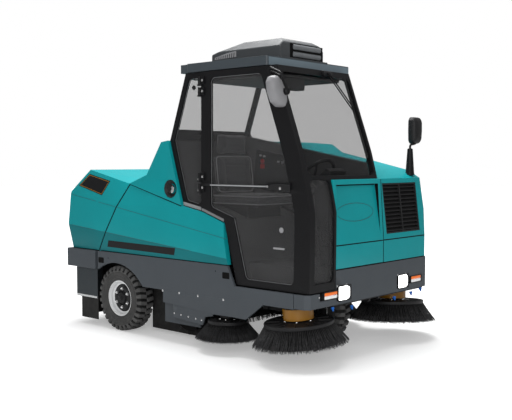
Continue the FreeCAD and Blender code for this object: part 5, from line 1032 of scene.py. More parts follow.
def cab_trim():
    """Rounded pane corners of the fixed windows, hinge bolts, sill strips and knobs."""
    ring = inset(CAB_BASE + CAB_FRONT + CAB_REAR, 0.044)
    quarter = clip(ring, lambda p: POST_X - 0.022 - p[0])
    left = clip(ring, lambda p: p[1] - line_z(LEFT_SILL, p[0]))
    low_front = [p for p in CAB_FRONT if p[1] < 1.3]
    built("cab_corner_webs", BLACK, "chassis",
          [(opening_corners, quarter, CAB_RIGHT_Y + 0.001, 0.022, PANE_RADIUS),
           (opening_corners, left, CAB_LEFT_Y - 0.023, 0.022, PANE_RADIUS),
           (screen_webs, CAB_FRONT[4:9], -0.696, 0.094, 1.300, 2.012, 0.045),
           (screen_webs, low_front, -0.696, -0.480, 0.576, 1.274, PANE_RADIUS)], bevel=0.0015)
    # Pale lines round the fixed panes: painted highlight on their edges
    built("cab_pane_edge_highlights", PANE_EDGE_HIGHLIGHT, "chassis",
          [(add_pane_edge_highlight, inset(quarter, -PANE_LAP), -0.7072, -0.7064, 0.003, PANE_RADIUS),
           (add_pane_edge_highlight, inset(left, -PANE_LAP), 0.1046, 0.1054, 0.003, PANE_RADIUS)])

    for name, x, rise, body in (("door_hinge_bolts", POST_X - 0.011, 0.0, "chassis"),
                                ("door_leaf_bolts", POST_X + 0.028, 0.020, "door")):
        bolts(name, [(x, HINGE_Y, z + rise) for z in HINGE_BOLT_Z], -Y, body, 0.007, 0.005)

    built("cab_sill_strip", SILVER, "chassis",
          [(add_side_plate, sloped(CAB_BASE[0][0], POST_X - 0.024, CAB_BASE[:2], low, high),
            -0.7185, depth) for low, high, depth in ((0.003, 0.026, -0.0045),
                                                     (0.022, 0.028, -0.007))], bevel=0.0008)
    built("door_sill_strip", SILL_GREY, "door",
          [(add_side_plate, sloped(low_x, high_x, line, 0.010, 0.030), -0.7495, -0.003)
           for low_x, high_x, line in ((POST_X + 0.012, CAB_BASE[1][0], CAB_BASE[:2]),
                                       (CAB_BASE[1][0], CAB_BASE[2][0], CAB_BASE[1:3]))],
          bevel=0.0008)
    knob = [(0, 0.011), (0.004, 0.011), (0.006, 0.017), (0.012, 0.017), (0.014, 0.013)]
    built("quarter_window_knobs", MOULDED, "chassis",
          [(add_lathe, (x, -0.7066, z), -Y, knob, 20) for x, z in ((0.130, 1.945),
                                                                   (0.196, 1.160))])


def sloped(low_x, high_x, line, low, high):
    """Side-view outline of a strip that follows a line, between two heights over it."""
    return [(low_x, line_z(line, low_x) + low), (high_x, line_z(line, high_x) + low),
            (high_x, line_z(line, high_x) + high), (low_x, line_z(line, low_x) + high)]


def screen_webs(bm, profile, y_low, y_high, z_low, z_high, radius):
    """Webs that round the corners of a window in the cab's curved front."""
    for z, up in ((z_low, 1), (z_high, -1)):
        lower, upper = next((a, b) for a, b in zip(profile, profile[1:]) if b[1] >= z - 1e-6)
        share = (z - lower[1]) / (upper[1] - lower[1])
        x = lower[0] + (upper[0] - lower[0]) * share
        slope = Vector((upper[0] - lower[0], 0, upper[1] - lower[1])).normalized()
        inward = Vector((-slope.z, 0, slope.x)) * 0.030
        skin = Vector((slope.z, 0, -slope.x)) * -0.0015
        for y, across in ((y_low, Y), (y_high, -Y)):
            add_corner_fill(bm, Vector((x, y, z)) + skin, slope * up, across, radius, inward)


def face_strip(bm, points, width, proud, normal):
    """Flat strip along a route on a surface, lying across its normal."""
    normal = Vector(normal).normalized()
    for start, end in zip(points, points[1:]):
        start, end = Vector(start), Vector(end)
        side = (end - start).cross(normal).normalized() * width / 2
        base = normal * -0.003
        add_prism(bm, [start - side + base, end - side + base, end + side + base,
                       start + side + base], normal * (proud + 0.003))


SEAM_PROUD = 0.0006


def hood_front_x(z):
    """Front plane of the hood above the lower panel."""
    return FRONT_X + (1.2014 - FRONT_X) * (z - PANEL_TOP_Z) / (1.2701 - PANEL_TOP_Z)


def cowl_front_x(z):
    """Front plane of the cowl above the lower panel."""
    return FRONT_X - 0.032 * (z - PANEL_TOP_Z) / (COWL_TOP_Z - PANEL_TOP_Z)


def recess_x(z):
    """Sloping floor of the cowl's recess."""
    low, high = PANEL_TOP_Z + COWL_BORDER, COWL_TOP_Z - COWL_BORDER
    floor_x = cowl_front_x(high) - COWL_RECESS
    return cowl_front_x(low) + (floor_x - cowl_front_x(low)) * (z - low) / (high - low)


def front_trim():
    """Seams, the plain pressed oval as a ring of painted shade, the recess and the louvres of the
    front panels.
    """
    seam_end_y = BODY_HALF - 0.052
    hood_line = HOOD_RIGHT_Y - 0.002
    hood_side = [(x, side_y(x, PANEL_TOP_Z, HOOD_LEAN), PANEL_TOP_Z)
                 for x in (FRONT_X - 0.052, 0.300)]
    seams = (([(FRONT_X, COWL_RIGHT_Y + 0.002, PANEL_TOP_Z), (FRONT_X, seam_end_y, PANEL_TOP_Z)],
              0.008, X),
             ([(FRONT_X, hood_line, SKIRT_TOP_Z), (FRONT_X, hood_line, PANEL_TOP_Z)], 0.007, X),
             ([(cowl_front_x(z), HOOD_RIGHT_Y - 0.0005, z) for z in
               (PANEL_TOP_Z, COWL_TOP_Z - 0.004)], 0.005, X),
             ([(FRONT_X, -BODY_HALF + 0.320, SKIRT_TOP_Z + 0.003),
               (FRONT_X, seam_end_y, SKIRT_TOP_Z + 0.003)], 0.008, X),
             (hood_side, 0.006, Y))
    built("front_seams", SEAM_AND_SHADE_BLACK, "chassis",
          [(face_strip, route, width, SEAM_PROUD, normal) for route, width, normal in seams])

    def skirt_seam(side, start_x, end_x):
        return (face_strip, [(x, side * side_y(x, SKIRT_TOP_Z), SKIRT_TOP_Z + 0.002)
                             for x in (start_x, end_x)], 0.009, SEAM_PROUD, Y * side)
    shoulder = [(x, -side_y(x, z), z - 0.004) for x, z in SHOULDER]
    side_seams = []
    for side, end_x in ((-1, 0.520), (1, 1.200)):
        joint = [(x + 0.003, side * side_y(x, z), z) for x, z in SEAM_LINE]
        side_seams += [skirt_seam(side, -0.970, end_x),
                       (face_strip, joint, 0.009, SEAM_PROUD, Y * side)]
    side_seams.append((face_strip, shoulder, 0.009, 0.0010, (0, -1, TOP_LEAN)))
    built("side_seams", SEAM_AND_SHADE_BLACK, "chassis", side_seams)
    built("hopper_seams", SEAM_AND_SHADE_BLACK, "hopper",
          [skirt_seam(side, -1.335, -0.985) for _, side in SIDES])

    # Dark teal ring on the recess floor: painted shade along the pressed oval's edge
    def build_oval_shade(bm):
        def oval(grow, rise):
            turns = [2 * math.pi * i / 48 for i in range(48)]
            points = [(-0.187 + (0.226 + grow) * math.cos(t), 1.039 + (0.066 + grow) * math.sin(t))
                      for t in turns]
            return [bm.verts.new((recess_x(z) + rise, y, z)) for y, z in points]
        rings = [oval(0.0, -0.001), oval(0.0, 0.001), oval(-0.0045, 0.001), oval(-0.0045, -0.001)]
        join_rings(bm, rings + rings[:1])
    made("cowl_oval_shade_ring", build_oval_shade, GROOVE_SHADE_TEAL, "chassis")

    thin = 0.0015
    low, high = PANEL_TOP_Z + COWL_BORDER, COWL_TOP_Z - COWL_BORDER
    y_right, y_left = COWL_RIGHT_Y + COWL_BORDER, HOOD_RIGHT_Y - COWL_BORDER
    deep_x, lip_x, top_z = recess_x(high) + thin, cowl_front_x(high) - 0.002, high - thin
    near_y, far_y = y_right + thin, y_left - thin
    built("cowl_recess_shade", SEAM_AND_SHADE_BLACK, "chassis",
          [(add_prism, [(cowl_front_x(low) - 0.003, far_y, low), (lip_x, far_y, top_z),
                        (deep_x, far_y, top_z)], (0, thin * 0.8, 0)),
           (add_prism, [(deep_x, near_y, top_z), (lip_x, near_y, top_z), (lip_x, far_y, top_z),
                        (deep_x, far_y, top_z)], (0, 0, thin * 0.8)),
           (add_front_plate, [(near_y, high - 0.012), (far_y, high - 0.012), (far_y, top_z),
                              (near_y, top_z)], deep_x, -0.001)])
    grille()


def grille():
    """Louvred grille: frame, middle bar, slats and a black sheet behind them as painted shade."""
    y_right, y_left = 0.182, 0.660
    z_low, z_high, border, half_bar, slats = 0.860, 1.236, 0.012, 0.006, 12
    middle = (y_right + y_left) / 2
    right_in, left_in = y_right + border, y_left - border
    slope = Vector((hood_front_x(z_high) - hood_front_x(z_low), 0, z_high - z_low)).normalized()
    outward = Vector((slope.z, 0, -slope.x))

    def at(y, z, depth):
        return Vector((hood_front_x(z), y, z)) - outward * depth

    def build(bm):
        for low_y, high_y, low_z, high_z in (
                (y_right, right_in, z_low, z_high), (left_in, y_left, z_low, z_high),
                (middle - half_bar, middle + half_bar, z_low + border, z_high - border),
                (right_in, left_in, z_low, z_low + border),
                (right_in, left_in, z_high - border, z_high)):
            add_prism(bm, [at(y, z, 0.002) for y, z in box_outline(low_y, low_z, high_y, high_z)],
                      outward * -0.018)
        for index in range(slats):
            z = z_low + border + (z_high - z_low - 2 * border) * (index + 0.5) / slats
            profile = [(z - 0.010, 0.003), (z - 0.007, 0.003), (z + 0.009, 0.019),
                       (z + 0.006, 0.019)]
            for low_y, high_y in ((right_in, middle - half_bar), (middle + half_bar, left_in)):
                add_prism(bm, [at(low_y, height, depth) for height, depth in profile],
                          (0, high_y - low_y, 0))
    made("grille_louvres", build, MOULDED, "chassis", ["radiator_grille"],
         0.0008, 1)
    # Black sheet behind the slats: painted shade of the space behind the grille
    back = box_outline(y_right + 0.002, z_low + 0.002, y_left - 0.002, z_high - 0.002)
    built("grille_back_shade", SEAM_AND_SHADE_BLACK, "chassis",
          [(add_prism, [(hood_front_x(z) - 0.0235, y, z) for y, z in back], (0.002, 0, 0))])


def rounded_rect(y_mid, z_mid, width, height, radius, steps=5):
    """Outline of a rounded rectangle in the front view."""
    points = []
    for index, (sy, sz) in enumerate(((1, -1), (1, 1), (-1, 1), (-1, -1))):
        centre = (y_mid + sy * (width / 2 - radius), z_mid + sz * (height / 2 - radius))
        start = math.radians(-90 + 90 * index)
        for step in range(steps + 1):
            turn = start + math.radians(90) * step / steps
            points.append((centre[0] + radius * math.cos(turn),
                           centre[1] + radius * math.sin(turn)))
    return points


def add_dome(bm, outline, base_x, rise, direction=1, levels=4):
    """Crowned lens over an outline in the front view."""
    middle = Vector((sum(p[0] for p in outline) / len(outline),
                     sum(p[1] for p in outline) / len(outline)))
    rings = []
    for level in range(levels):
        turn = math.pi / 2 * level / levels
        ring = []
        for y, z in outline:
            point = middle + (Vector((y, z)) - middle) * math.cos(turn)
            ring.append(bm.verts.new((base_x + direction * rise * math.sin(turn), *point)))
        rings.append(ring)
    join_rings(bm, rings)
    bm.faces.new(rings[-1][::-1])
    bm.faces.new(rings[0])


LAMP_Z, TAIL_LAMP_Z = 0.483, 0.570
# Half the distance between the two lamps of a kind, and how far the pair sits to the left
HEAD_Y, HEAD_SHIFT = 0.384, 0.030
INDICATOR_Y, INDICATOR_SHIFT = 0.558, 0.044


def lamps():
    """Head lamps and indicators with bezels and screws, and the tail lamps."""
    heads = [side * HEAD_Y + HEAD_SHIFT for _, side in SIDES]
    indicators = [side * INDICATOR_Y + INDICATOR_SHIFT for _, side in SIDES]
    bezels = []
    for head_y, indicator_y in zip(heads, indicators):
        for y, width, height in ((head_y, 0.156, 0.112), (indicator_y, 0.168, 0.060)):
            bezels.append((add_bezel, rounded_rect(y, LAMP_Z, width, height, 0.010),
                           rounded_rect(y, LAMP_Z, width - 0.014, height - 0.014, 0.008),
                           FRONT_X - 0.012, FRONT_X + 0.0035))
    built("lamp_bezels", MOULDED, "chassis", bezels, ["head_lamps"], 0.001)
    built("head_lamp_lenses", LIT, "chassis",
          [(add_dome, rounded_rect(y, LAMP_Z, 0.142, 0.098, 0.026), FRONT_X - 0.004, 0.0085)
           for y in heads])
    for name, material, rise in (("indicator_lenses", AMBER, 0.012),
                                 ("position_lenses", CLEAR, -0.012)):
        built(name, material, "chassis",
              [(add_dome, rounded_rect(y, LAMP_Z + rise, 0.154, 0.024, 0.008),
                FRONT_X - 0.003, 0.007) for y in indicators])
    screws = []
    for _, side in SIDES:
        screws += [(FRONT_X, side * 0.562 + dy, LAMP_Z) for dy in (-0.085, 0.085)]
        screws += [(FRONT_X, side * 0.388 + dy, LAMP_Z + 0.056) for dy in (-0.055, 0.055)]
    bolts("lamp_screws", screws, X, "chassis", 0.005, 0.003)
    built("tail_lamp_lenses", RED, "hopper",
          [(add_dome, rounded_rect(side * y, TAIL_LAMP_Z, 0.068, 0.060, 0.012), REAR_X + 0.006,
            0.0055, -1) for _, side in SIDES for y in (0.694, 0.620)], ["tail_lamps"])
    built("tail_lamp_bodies", MOULDED, "hopper",
          [(add_front_plate, rounded_rect(side * 0.657, TAIL_LAMP_Z, 0.150, 0.070, 0.010),
            REAR_X + 0.007, 0.012) for _, side in SIDES], bevel=0.001)


def add_bezel(bm, outer, inner, x_low, x_high):
    """Frame between two outlines in the front view."""
    loops = ((outer, x_low), (outer, x_high), (inner, x_high), (inner, x_low))
    rings = [[bm.verts.new((x, y, z)) for y, z in loop] for loop, x in loops]
    join_rings(bm, rings + rings[:1])


# Latch holes in the skirts, and the pin hole beside each
LATCHES = ((-0.927, 0.575), (0.511, 0.577))
PIN_HOLES = ((-0.834, 0.599), (0.407, 0.601))
# Outer faces of the hopper's plates, and the row of bolts along them
PLATE_Y, PLATE_REAR_X, PLATE_BOLT_Z = 0.744, -1.3055, 0.247


def side_trim():
    """Latch holes with black plates as painted shade inside, rows of bolts, clamp strips, rubber
    flaps and the filler.
    """
    # Black plates in the latch and pin holes paint the shade inside them
    holes = []
    for _, side in SIDES:
        for latch, pin in zip(LATCHES, PIN_HOLES):
            for (x, z), width, height in ((latch, 0.070, 0.046), (pin, 0.008, 0.008)):
                holes.append((add_side_plate, rounded_rect(x, z, width, height, height * 0.17),
                              side * (BODY_HALF - 0.0015), side * 0.003))
    built("latch_hole_shades", SEAM_AND_SHADE_BLACK, "chassis", holes, bevel=0.0006)
    built("latch_frames", GREY, "chassis",
          [(rim_at, x, side * BODY_HALF, z, side) for _, side in SIDES for x, z in LATCHES],
          bevel=0.0006)

    rows = (("apron_bolts_", "chassis", BODY_HALF, 0.0065, 0.004,
             [(x, 0.399) for x in (-0.165, 0.022, 0.223, 0.486)]),
            ("flap_bolts_", "chassis", BODY_HALF - 0.010, 0.005, 0.003,
             [(-0.045, 0.236), (0.03, 0.232), (0.11, 0.227), (0.19, 0.222), (0.252, 0.219)]),
            ("plate_bolts_", "hopper", PLATE_Y, 0.006, 0.003,
             [(x, PLATE_BOLT_Z) for x in (-1.285, -1.235, -1.185, -1.135, -1.085, -1.035)]))
    for name, side in SIDES:
        for row, body, y, radius, height, places in rows:
            bolts(row + name, [(x, side * y, z) for x, z in places], Y * side, body, radius,
                  height)
    rear_row = [(PLATE_REAR_X, 0.14 * index, PLATE_BOLT_Z) for index in range(-5, 6)]
    bolts("plate_bolts_rear", rear_row, -X, "hopper", 0.006, 0.003)

    strips = [(add_side_plate, box_outline(-1.300, 0.239, -1.020, 0.256), side * PLATE_Y,
               side * 0.0018) for _, side in SIDES]
    strips.append((add_front_plate, box_outline(-0.735, 0.239, 0.735, 0.256), PLATE_REAR_X,
                   -0.0018))
    built("plate_clamp_strips", STEEL, "hopper", strips, bevel=0.0006)
    dress("hopper_flaps", FLAP, 0.001, 1)
    built("side_flaps", FLAP, "chassis",
          [(add_side_plate, box_outline(-0.520, 0.400, 0.100, 0.034), side * 0.560, side * 0.006)
           for _, side in SIDES], bevel=0.001)
    filler()


def rim_at(bm, x, y, z, side):
    """Thin raised frame round a latch hole."""
    outer = rounded_rect(0, 0, 0.080, 0.056, 0.012)
    inner = rounded_rect(0, 0, 0.069, 0.045, 0.008)
    rings = []
    for loop, rise in ((outer, -0.001), (outer, 0.0004), (inner, 0.0004), (inner, -0.001)):
        rings.append([bm.verts.new((x + dx, y - side * 0.0005 + side * rise, z + dz))
                      for dx, dz in loop])
    join_rings(bm, rings + rings[:1])


def filler():
    """Black funnel and silver cap in the round recess of the deck's side."""
    x, z, floor_y, ribs = -0.1014, 1.1872, -0.722, 14
    funnel = [(0.0003, 0.040), (0.0003, 0.0690), (0.0240, 0.0697), (0.0258, 0.0697),
              (0.0258, 0.0655), (0.0220, 0.0625), (0.0080, 0.0480), (0.0050, 0.0400)]
    built("filler_funnel", MOULDED, "chassis",
          [(add_lathe, (x, floor_y, z), -Y, funnel, 12, False)], bevel=0.001, smooth_deg=10)

    def build_cap(bm):
        add_lathe(bm, (x, floor_y, z), -Y, [(0.001, 0.024), (0.012, 0.024), (0.0125, 0.033),
                                            (0.0195, 0.034), (0.0212, 0.031), (0.0212, 0.012),
                                            (0.0195, 0.010)], 28)
        for index in range(ribs):
            turn = 2 * math.pi * index / ribs
            at = Vector((x + 0.0335 * math.sin(turn), floor_y - 0.013,
                         z + 0.0335 * math.cos(turn)))
            add_rod(bm, at, at - Y * 0.0065, 0.0022, 6)
        for face in bm.faces:
            middle = face.calc_center_median()
            face.material_index = int(middle.x < x + 0.004 or middle.z > z + 0.016)
    made("filler_cap_look", build_cap, [STEEL, MOULDED], "chassis", ["filler_cap"],
         0.0008, 1)


UNIT_SIDE_Y = -0.570


def roof_trim():
    """Fascia at the roof's front edge, the roof unit's base, drums and side vent, and black plates
    as painted shade in its front bay and vent slots.
    """
    fascia = paint("fascia", (0.150, 0.200, 0.235), 0.4, 0.1, dust=0.0)
    built("roof_fascia", fascia, "chassis",
          [(add_front_plate, box_outline(-0.735, 2.0585, 0.200, 2.114), 0.8815, 0.0005)])
    drum = [(0, 0.012), (0.003, 0.021), (0.317, 0.021), (0.320, 0.012)]
    built("unit_front_drums", VENT_GREY, "chassis",
          [(add_lathe, (0.836, -0.430, z), Y, drum, 20) for z in (2.162, 2.214)])
    # Black plate behind the drums: painted shade of the unit's front bay
    built("unit_bay_shade", SEAM_AND_SHADE_BLACK, "chassis",
          [(add_front_plate, box_outline(-0.462, 2.134, -0.082, 2.238), 0.8452, 0.0008)])
    built("unit_base_plate", UNIT, "chassis",
          [(add_box, (0.120, -0.592, 2.1195), (0.868, -0.048, 2.1315)),
           (add_side_plate, box_outline(0.190, 2.146, 0.640, 2.151), UNIT_SIDE_Y - 0.0005,
            -0.002)], bevel=0.002)
    vent = [(0.206, 2.156), (0.425, 2.162), (0.425, 2.206), (0.330, 2.196), (0.206, 2.172)]
    built("unit_side_vent", PALE, "chassis",
          [(add_side_plate, vent, UNIT_SIDE_Y, -0.0012)], bevel=0.0004)
    # Black slots on the vent: painted shade in its openings
    slots = []
    for index in range(9):
        x, top_z = 0.222 + 0.022 * index, 2.172 + 0.003 * index
        slots.append((add_side_plate, [(x, 2.160), (x + 0.006, 2.160), (x + 0.010, top_z),
                                       (x + 0.004, top_z - 0.001)],
                      UNIT_SIDE_Y - 0.0012, -0.0006))
    built("unit_vent_slot_shades", SEAM_AND_SHADE_BLACK, "chassis", slots)


def mirrors():
    """Right mirror: grey shell on a twin tube. Left mirror: black shell on a tapered post."""
    mirror_head("right", (1.0596, -0.8455, 1.858), "door", HEAD_GREY, RIGHT_HEAD)
    mirror_head("left", (1.1576, 0.745, 1.6436), "chassis", MOULDED, LEFT_HEAD)
    upper = [(0.9132, -0.747, 2.0246), (0.9400, -0.790, 2.0340), (1.0900, -0.862, 1.985),
             (1.1080, -0.862, 1.955), (1.1080, -0.815, 1.868)]
    lower = [(0.9132, -0.747, 2.0020), (0.9400, -0.782, 2.0080), (1.0820, -0.842, 1.962),
             (1.1080, -0.842, 1.930), (1.1080, -0.795, 1.868)]
    built("mirror_right_arm", BLACK, "door",
          [(add_tube, upper, 0.0070, 0.030), (add_tube, lower, 0.0055, 0.030),
           (add_lathe, (0.9132, -0.750, 2.0140), -Y, [(0, 0.024), (0.010, 0.024),
                                                      (0.014, 0.014)], 20),
           (add_lathe, (1.086, -0.805, 1.862), X, [(0, 0.026), (0.022, 0.026),
                                                   (0.030, 0.018)], 18)], ["mirror_right"])
    x, foot_y, head_y = 1.1576, 0.655, 0.745
    post = [(0.0, 0.037), (0.008, 0.037), (0.014, 0.034), (0.205, 0.021), (0.209, 0.014)]
    built("mirror_left_post", BLACK, "chassis",
          [(add_lathe, (x, foot_y, 1.292), Z, post, 24),
           (add_tube, [(x, foot_y, 1.485), (x, foot_y, 1.530), (x, head_y, 1.540),
                       (x, head_y, 1.700)], 0.0088, 0.030)], ["mirror_left"])


RIGHT_HEAD = [(-0.085, 0.062), (-0.066, 0.094), (-0.018, 0.108), (0.014, 0.088), (0.050, 0.036),
              (0.082, -0.020), (0.084, -0.075), (0.068, -0.100), (0.010, -0.098), (-0.040, -0.070),
              (-0.074, -0.005)]
LEFT_HEAD = [(-0.044, -0.104), (0.036, -0.104), (0.056, -0.080), (0.064, 0.000), (0.062, 0.080),
             (0.044, 0.106), (-0.044, 0.106), (-0.062, 0.080), (-0.064, 0.000), (-0.060, -0.080)]


def mirror_head(side, place, body, material, outline):
    """Domed shell over an outline in the front view, with the framed glass behind it."""
    centre = Vector(place)
    name = "mirror_%s_head" % side
    loop = rounded_loop([Vector((0, y, z)) for y, z in outline], 0.016, 175.0)

    def ring(bm, scale, x):
        return [bm.verts.new(centre + Vector((x, p.y * scale, p.z * scale))) for p in loop]

    def build(bm):
        rings = [ring(bm, 0.93, -0.034), ring(bm, 0.97, -0.037), ring(bm, 1.0, -0.033),
                 ring(bm, 1.0, -0.010), ring(bm, 0.95, 0.008), ring(bm, 0.84, 0.020),
                 ring(bm, 0.64, 0.028), ring(bm, 0.36, 0.032), ring(bm, 0.10, 0.033)]
        join_rings(bm, rings)
        bm.faces.new(rings[0])
        bm.faces.new(rings[-1][::-1])
    made(name, build, material, body, (), 0.0, 0, 50)

    def build_glass(bm):
        face = ring(bm, 0.91, -0.0345)
        back = ring(bm, 0.91, -0.0365)
        join_rings(bm, [face, back])
        bm.faces.new(face)
        bm.faces.new(back[::-1])
    mirror = metal("mirror_glass_" + side, (0.75, 0.77, 0.78), 0.04)
    made(name + "_glass", build_glass, mirror, body, (), 0.0, 0)


def wiper():
    """Motor cover, two thin parallel arms and the blade on the windscreen."""
    parts = [(add_tube, [(0.958, -0.191 + shift, 2.046), (0.992, -0.172 + shift, 1.995),
                         (1.062, shift, 1.778)], 0.0045, 0.02, 8) for shift in (0.0, 0.030)]
    parts.append((add_lathe, (0.982, -0.185, 2.026), (1, 0, 0.5),
                  [(0, 0.020), (0.012, 0.020), (0.016, 0.012)], 18))
    built("wiper_arms", BLACK, "chassis", parts)
    blade_y = 0.030
    route = [(0.966, blade_y, 2.020), (1.0585, blade_y, 1.765), (1.113, blade_y, 1.617),
             (1.166, blade_y, 1.468), (1.179, blade_y, 1.427)]
    rubber_edge = [Vector(p) - Vector((0.006, 0, 0.003)) for p in route]
    built("wiper_blade", MOULDED, "chassis",
          [(add_tube, route, 0.0042, 0.05, 8), (add_tube, rubber_edge, 0.0026, 0.05, 6)],
          ["wiper"])
    cover = [(0.955, 2.030), (0.972, 2.018), (0.983, 2.030), (0.975, 2.052), (0.950, 2.054)]
    built("wiper_motor_cover", MOULDED, "chassis",
          [(add_side_plate, cover, -0.235, 0.110)], bevel=0.004, segments=2)


def arms():
    """Front brush arms with ochre motor guards and hydraulic motors."""
    for name, side in SIDES:
        place = brush_matrix(side)
        local = place.inverted()
        node = "front_arm_" + name

        def off_guard(middle, local=local):
            at = local @ middle
            return int(not (at.xy.length < 0.1085 and 0.17 < at.z < 0.2545))
        dress(node, [OCHRE, CHASSIS], 0.003, 2, pick=off_guard)

        def build_motor(bm):
            add_lathe(bm, (0, 0, 0.2544), Z, [(0, 0.070), (0.006, 0.070), (0.008, 0.046),
                                              (0.030, 0.044), (0.034, 0.036)], 28)
            for t in (0.6, 2.2, 3.9, 5.4):
                add_lathe(bm, (0.088 * math.cos(t), 0.088 * math.sin(t), 0.2544), Z,
                          [(0, 0.009), (0.006, 0.009), (0.008, 0.005)], 6)
            bm.transform(place)
        made("front_motor_" + name, build_motor, CHASSIS, node, (), 0.001, 1)


def nozzles():
    """Blue spray nozzles on a pipe under the bumper."""
    nozzle = [(0, 0.012), (0.014, 0.012), (0.018, 0.008), (0.030, 0.006)]
    built("spray_nozzles", BLUE, "chassis",
          [(add_lathe, (1.236, y, z + 0.014), (0.25, 0, -1), nozzle, 14)
           for y, z in ((-0.467, 0.381), (-0.24, 0.365), (0.319, 0.361), (0.557, 0.371),
                        (0.700, 0.386))], bevel=0.0006)
    built("spray_pipe", MOULDED, "chassis",
          [(add_tube, [(1.232, -0.500, 0.402), (1.232, 0.730, 0.402)], 0.007, 0.02, 8)])


WALL_Y = 0.062


def interior():
    """Side console with knob and switches, instrument pod and head lining."""
    console = [(0.020, 1.180), (0.520, 1.110), (0.560, 1.300), (0.500, 1.420), (0.060, 1.500)]
    built("side_console", MOULDED, "chassis",
          [(add_side_plate, console, WALL_Y, 0.0135)], bevel=0.005, segments=2)
    built("red_knob", RED, "chassis",
          [(add_lathe, (0.130, WALL_Y, 1.399), -Y, [(0, 0.020), (0.004, 0.020),
                                                    (0.006, 0.012)], 16),
           (add_box, (0.108, WALL_Y - 0.004, 1.340), (0.152, WALL_Y, 1.376))])
    built("wall_switches", PALE, "chassis",
          [(add_box, (x - 0.013, WALL_Y - 0.004, z - 0.008), (x + 0.013, WALL_Y, z + 0.008))
           for x, z in ((0.110, 1.446), (0.150, 1.440), (0.300, 1.395), (0.345, 1.388))],
          bevel=0.001)
    pod = [(1.055, 1.262), (1.140, 1.290), (1.150, 1.330), (1.110, 1.352), (1.040, 1.300)]
    built("instrument_pod", MOULDED, "chassis",
          [(add_side_plate, pod, -0.380, 0.190)], bevel=0.008, segments=2)
    built("head_lining", INTERIOR, "chassis",
          [(add_box, (0.160, -0.660, 1.985), (0.900, 0.060, 2.010)),
           (add_box, (0.800, -0.560, 1.905), (0.880, -0.330, 1.990))], bevel=0.010, segments=3)


def soft_box(name, low, high, ease, body, shift=None):
    """Rounded block that a padded piece starts from."""
    bm = bmesh.new()
    add_box(bm, low, high)
    bmesh.ops.bevel(bm, geom=list(bm.edges), offset=ease, segments=4, profile=0.5,
                    affect="EDGES")
    if shift:
        for vertex in bm.verts:
            vertex.co += shift(vertex.co)
    piece = add_piece(name, mesh_from(bm, name), CLOTH, body, smooth_deg=180)
    remesh = piece.modifiers.new("grid", "REMESH")
    remesh.mode = "VOXEL"
    remesh.voxel_size = 0.006
    bake(piece)
    return piece


def bake(piece):
    """Put the result of a piece's modifiers in its mesh."""
    graph = bpy.context.evaluated_depsgraph_get()
    mesh = bpy.data.meshes.new_from_object(piece.evaluated_get(graph))
    piece.modifiers.clear()
    piece.data = mesh
    mesh.polygons.foreach_set("use_smooth", [True] * len(mesh.polygons))


def puff(piece, cap, rests_z=None, pressure=4.0):
    """Swell a padded piece by cloth pressure, with each point's movement capped."""
    rest = [v.co.copy() for v in piece.data.vertices]
    cloth = piece.modifiers.new("cloth", "CLOTH")
    cloth.settings.use_pressure = True
    cloth.settings.uniform_pressure_force = pressure
    cloth.settings.effector_weights.gravity = 0.0
    cloth.point_cache.frame_start, cloth.point_cache.frame_end = 1, 20
    for step in range(1, 21):
        bpy.context.scene.frame_set(step)
    graph = bpy.context.evaluated_depsgraph_get()
    swollen = [v.co.copy() for v in piece.evaluated_get(graph).data.vertices]
    piece.modifiers.clear()
    bpy.context.scene.frame_set(1)
    for vertex, before, after in zip(piece.data.vertices, rest, swollen):
        move = after - before
        if move.length > cap:
            move *= cap / move.length
        if rests_z is not None and before.z < rests_z:
            move.z = 0.0
        vertex.co = before + move
    return piece


def groove(piece, distance, depth, width):
    """Sewn channel: points near a line sink along their normals."""
    normals = [v.normal.copy() for v in piece.data.vertices]
    for vertex, normal in zip(piece.data.vertices, normals):
        away = distance(vertex.co, normal)
        if away is not None and away < width * 3:
            vertex.co -= normal * depth * math.exp(-(away / width) ** 2)
    piece.data.update()


# The back leans rearward from its foot
BACK_SLOPE, BACK_FOOT_Z = -0.035 / 0.298, 1.150


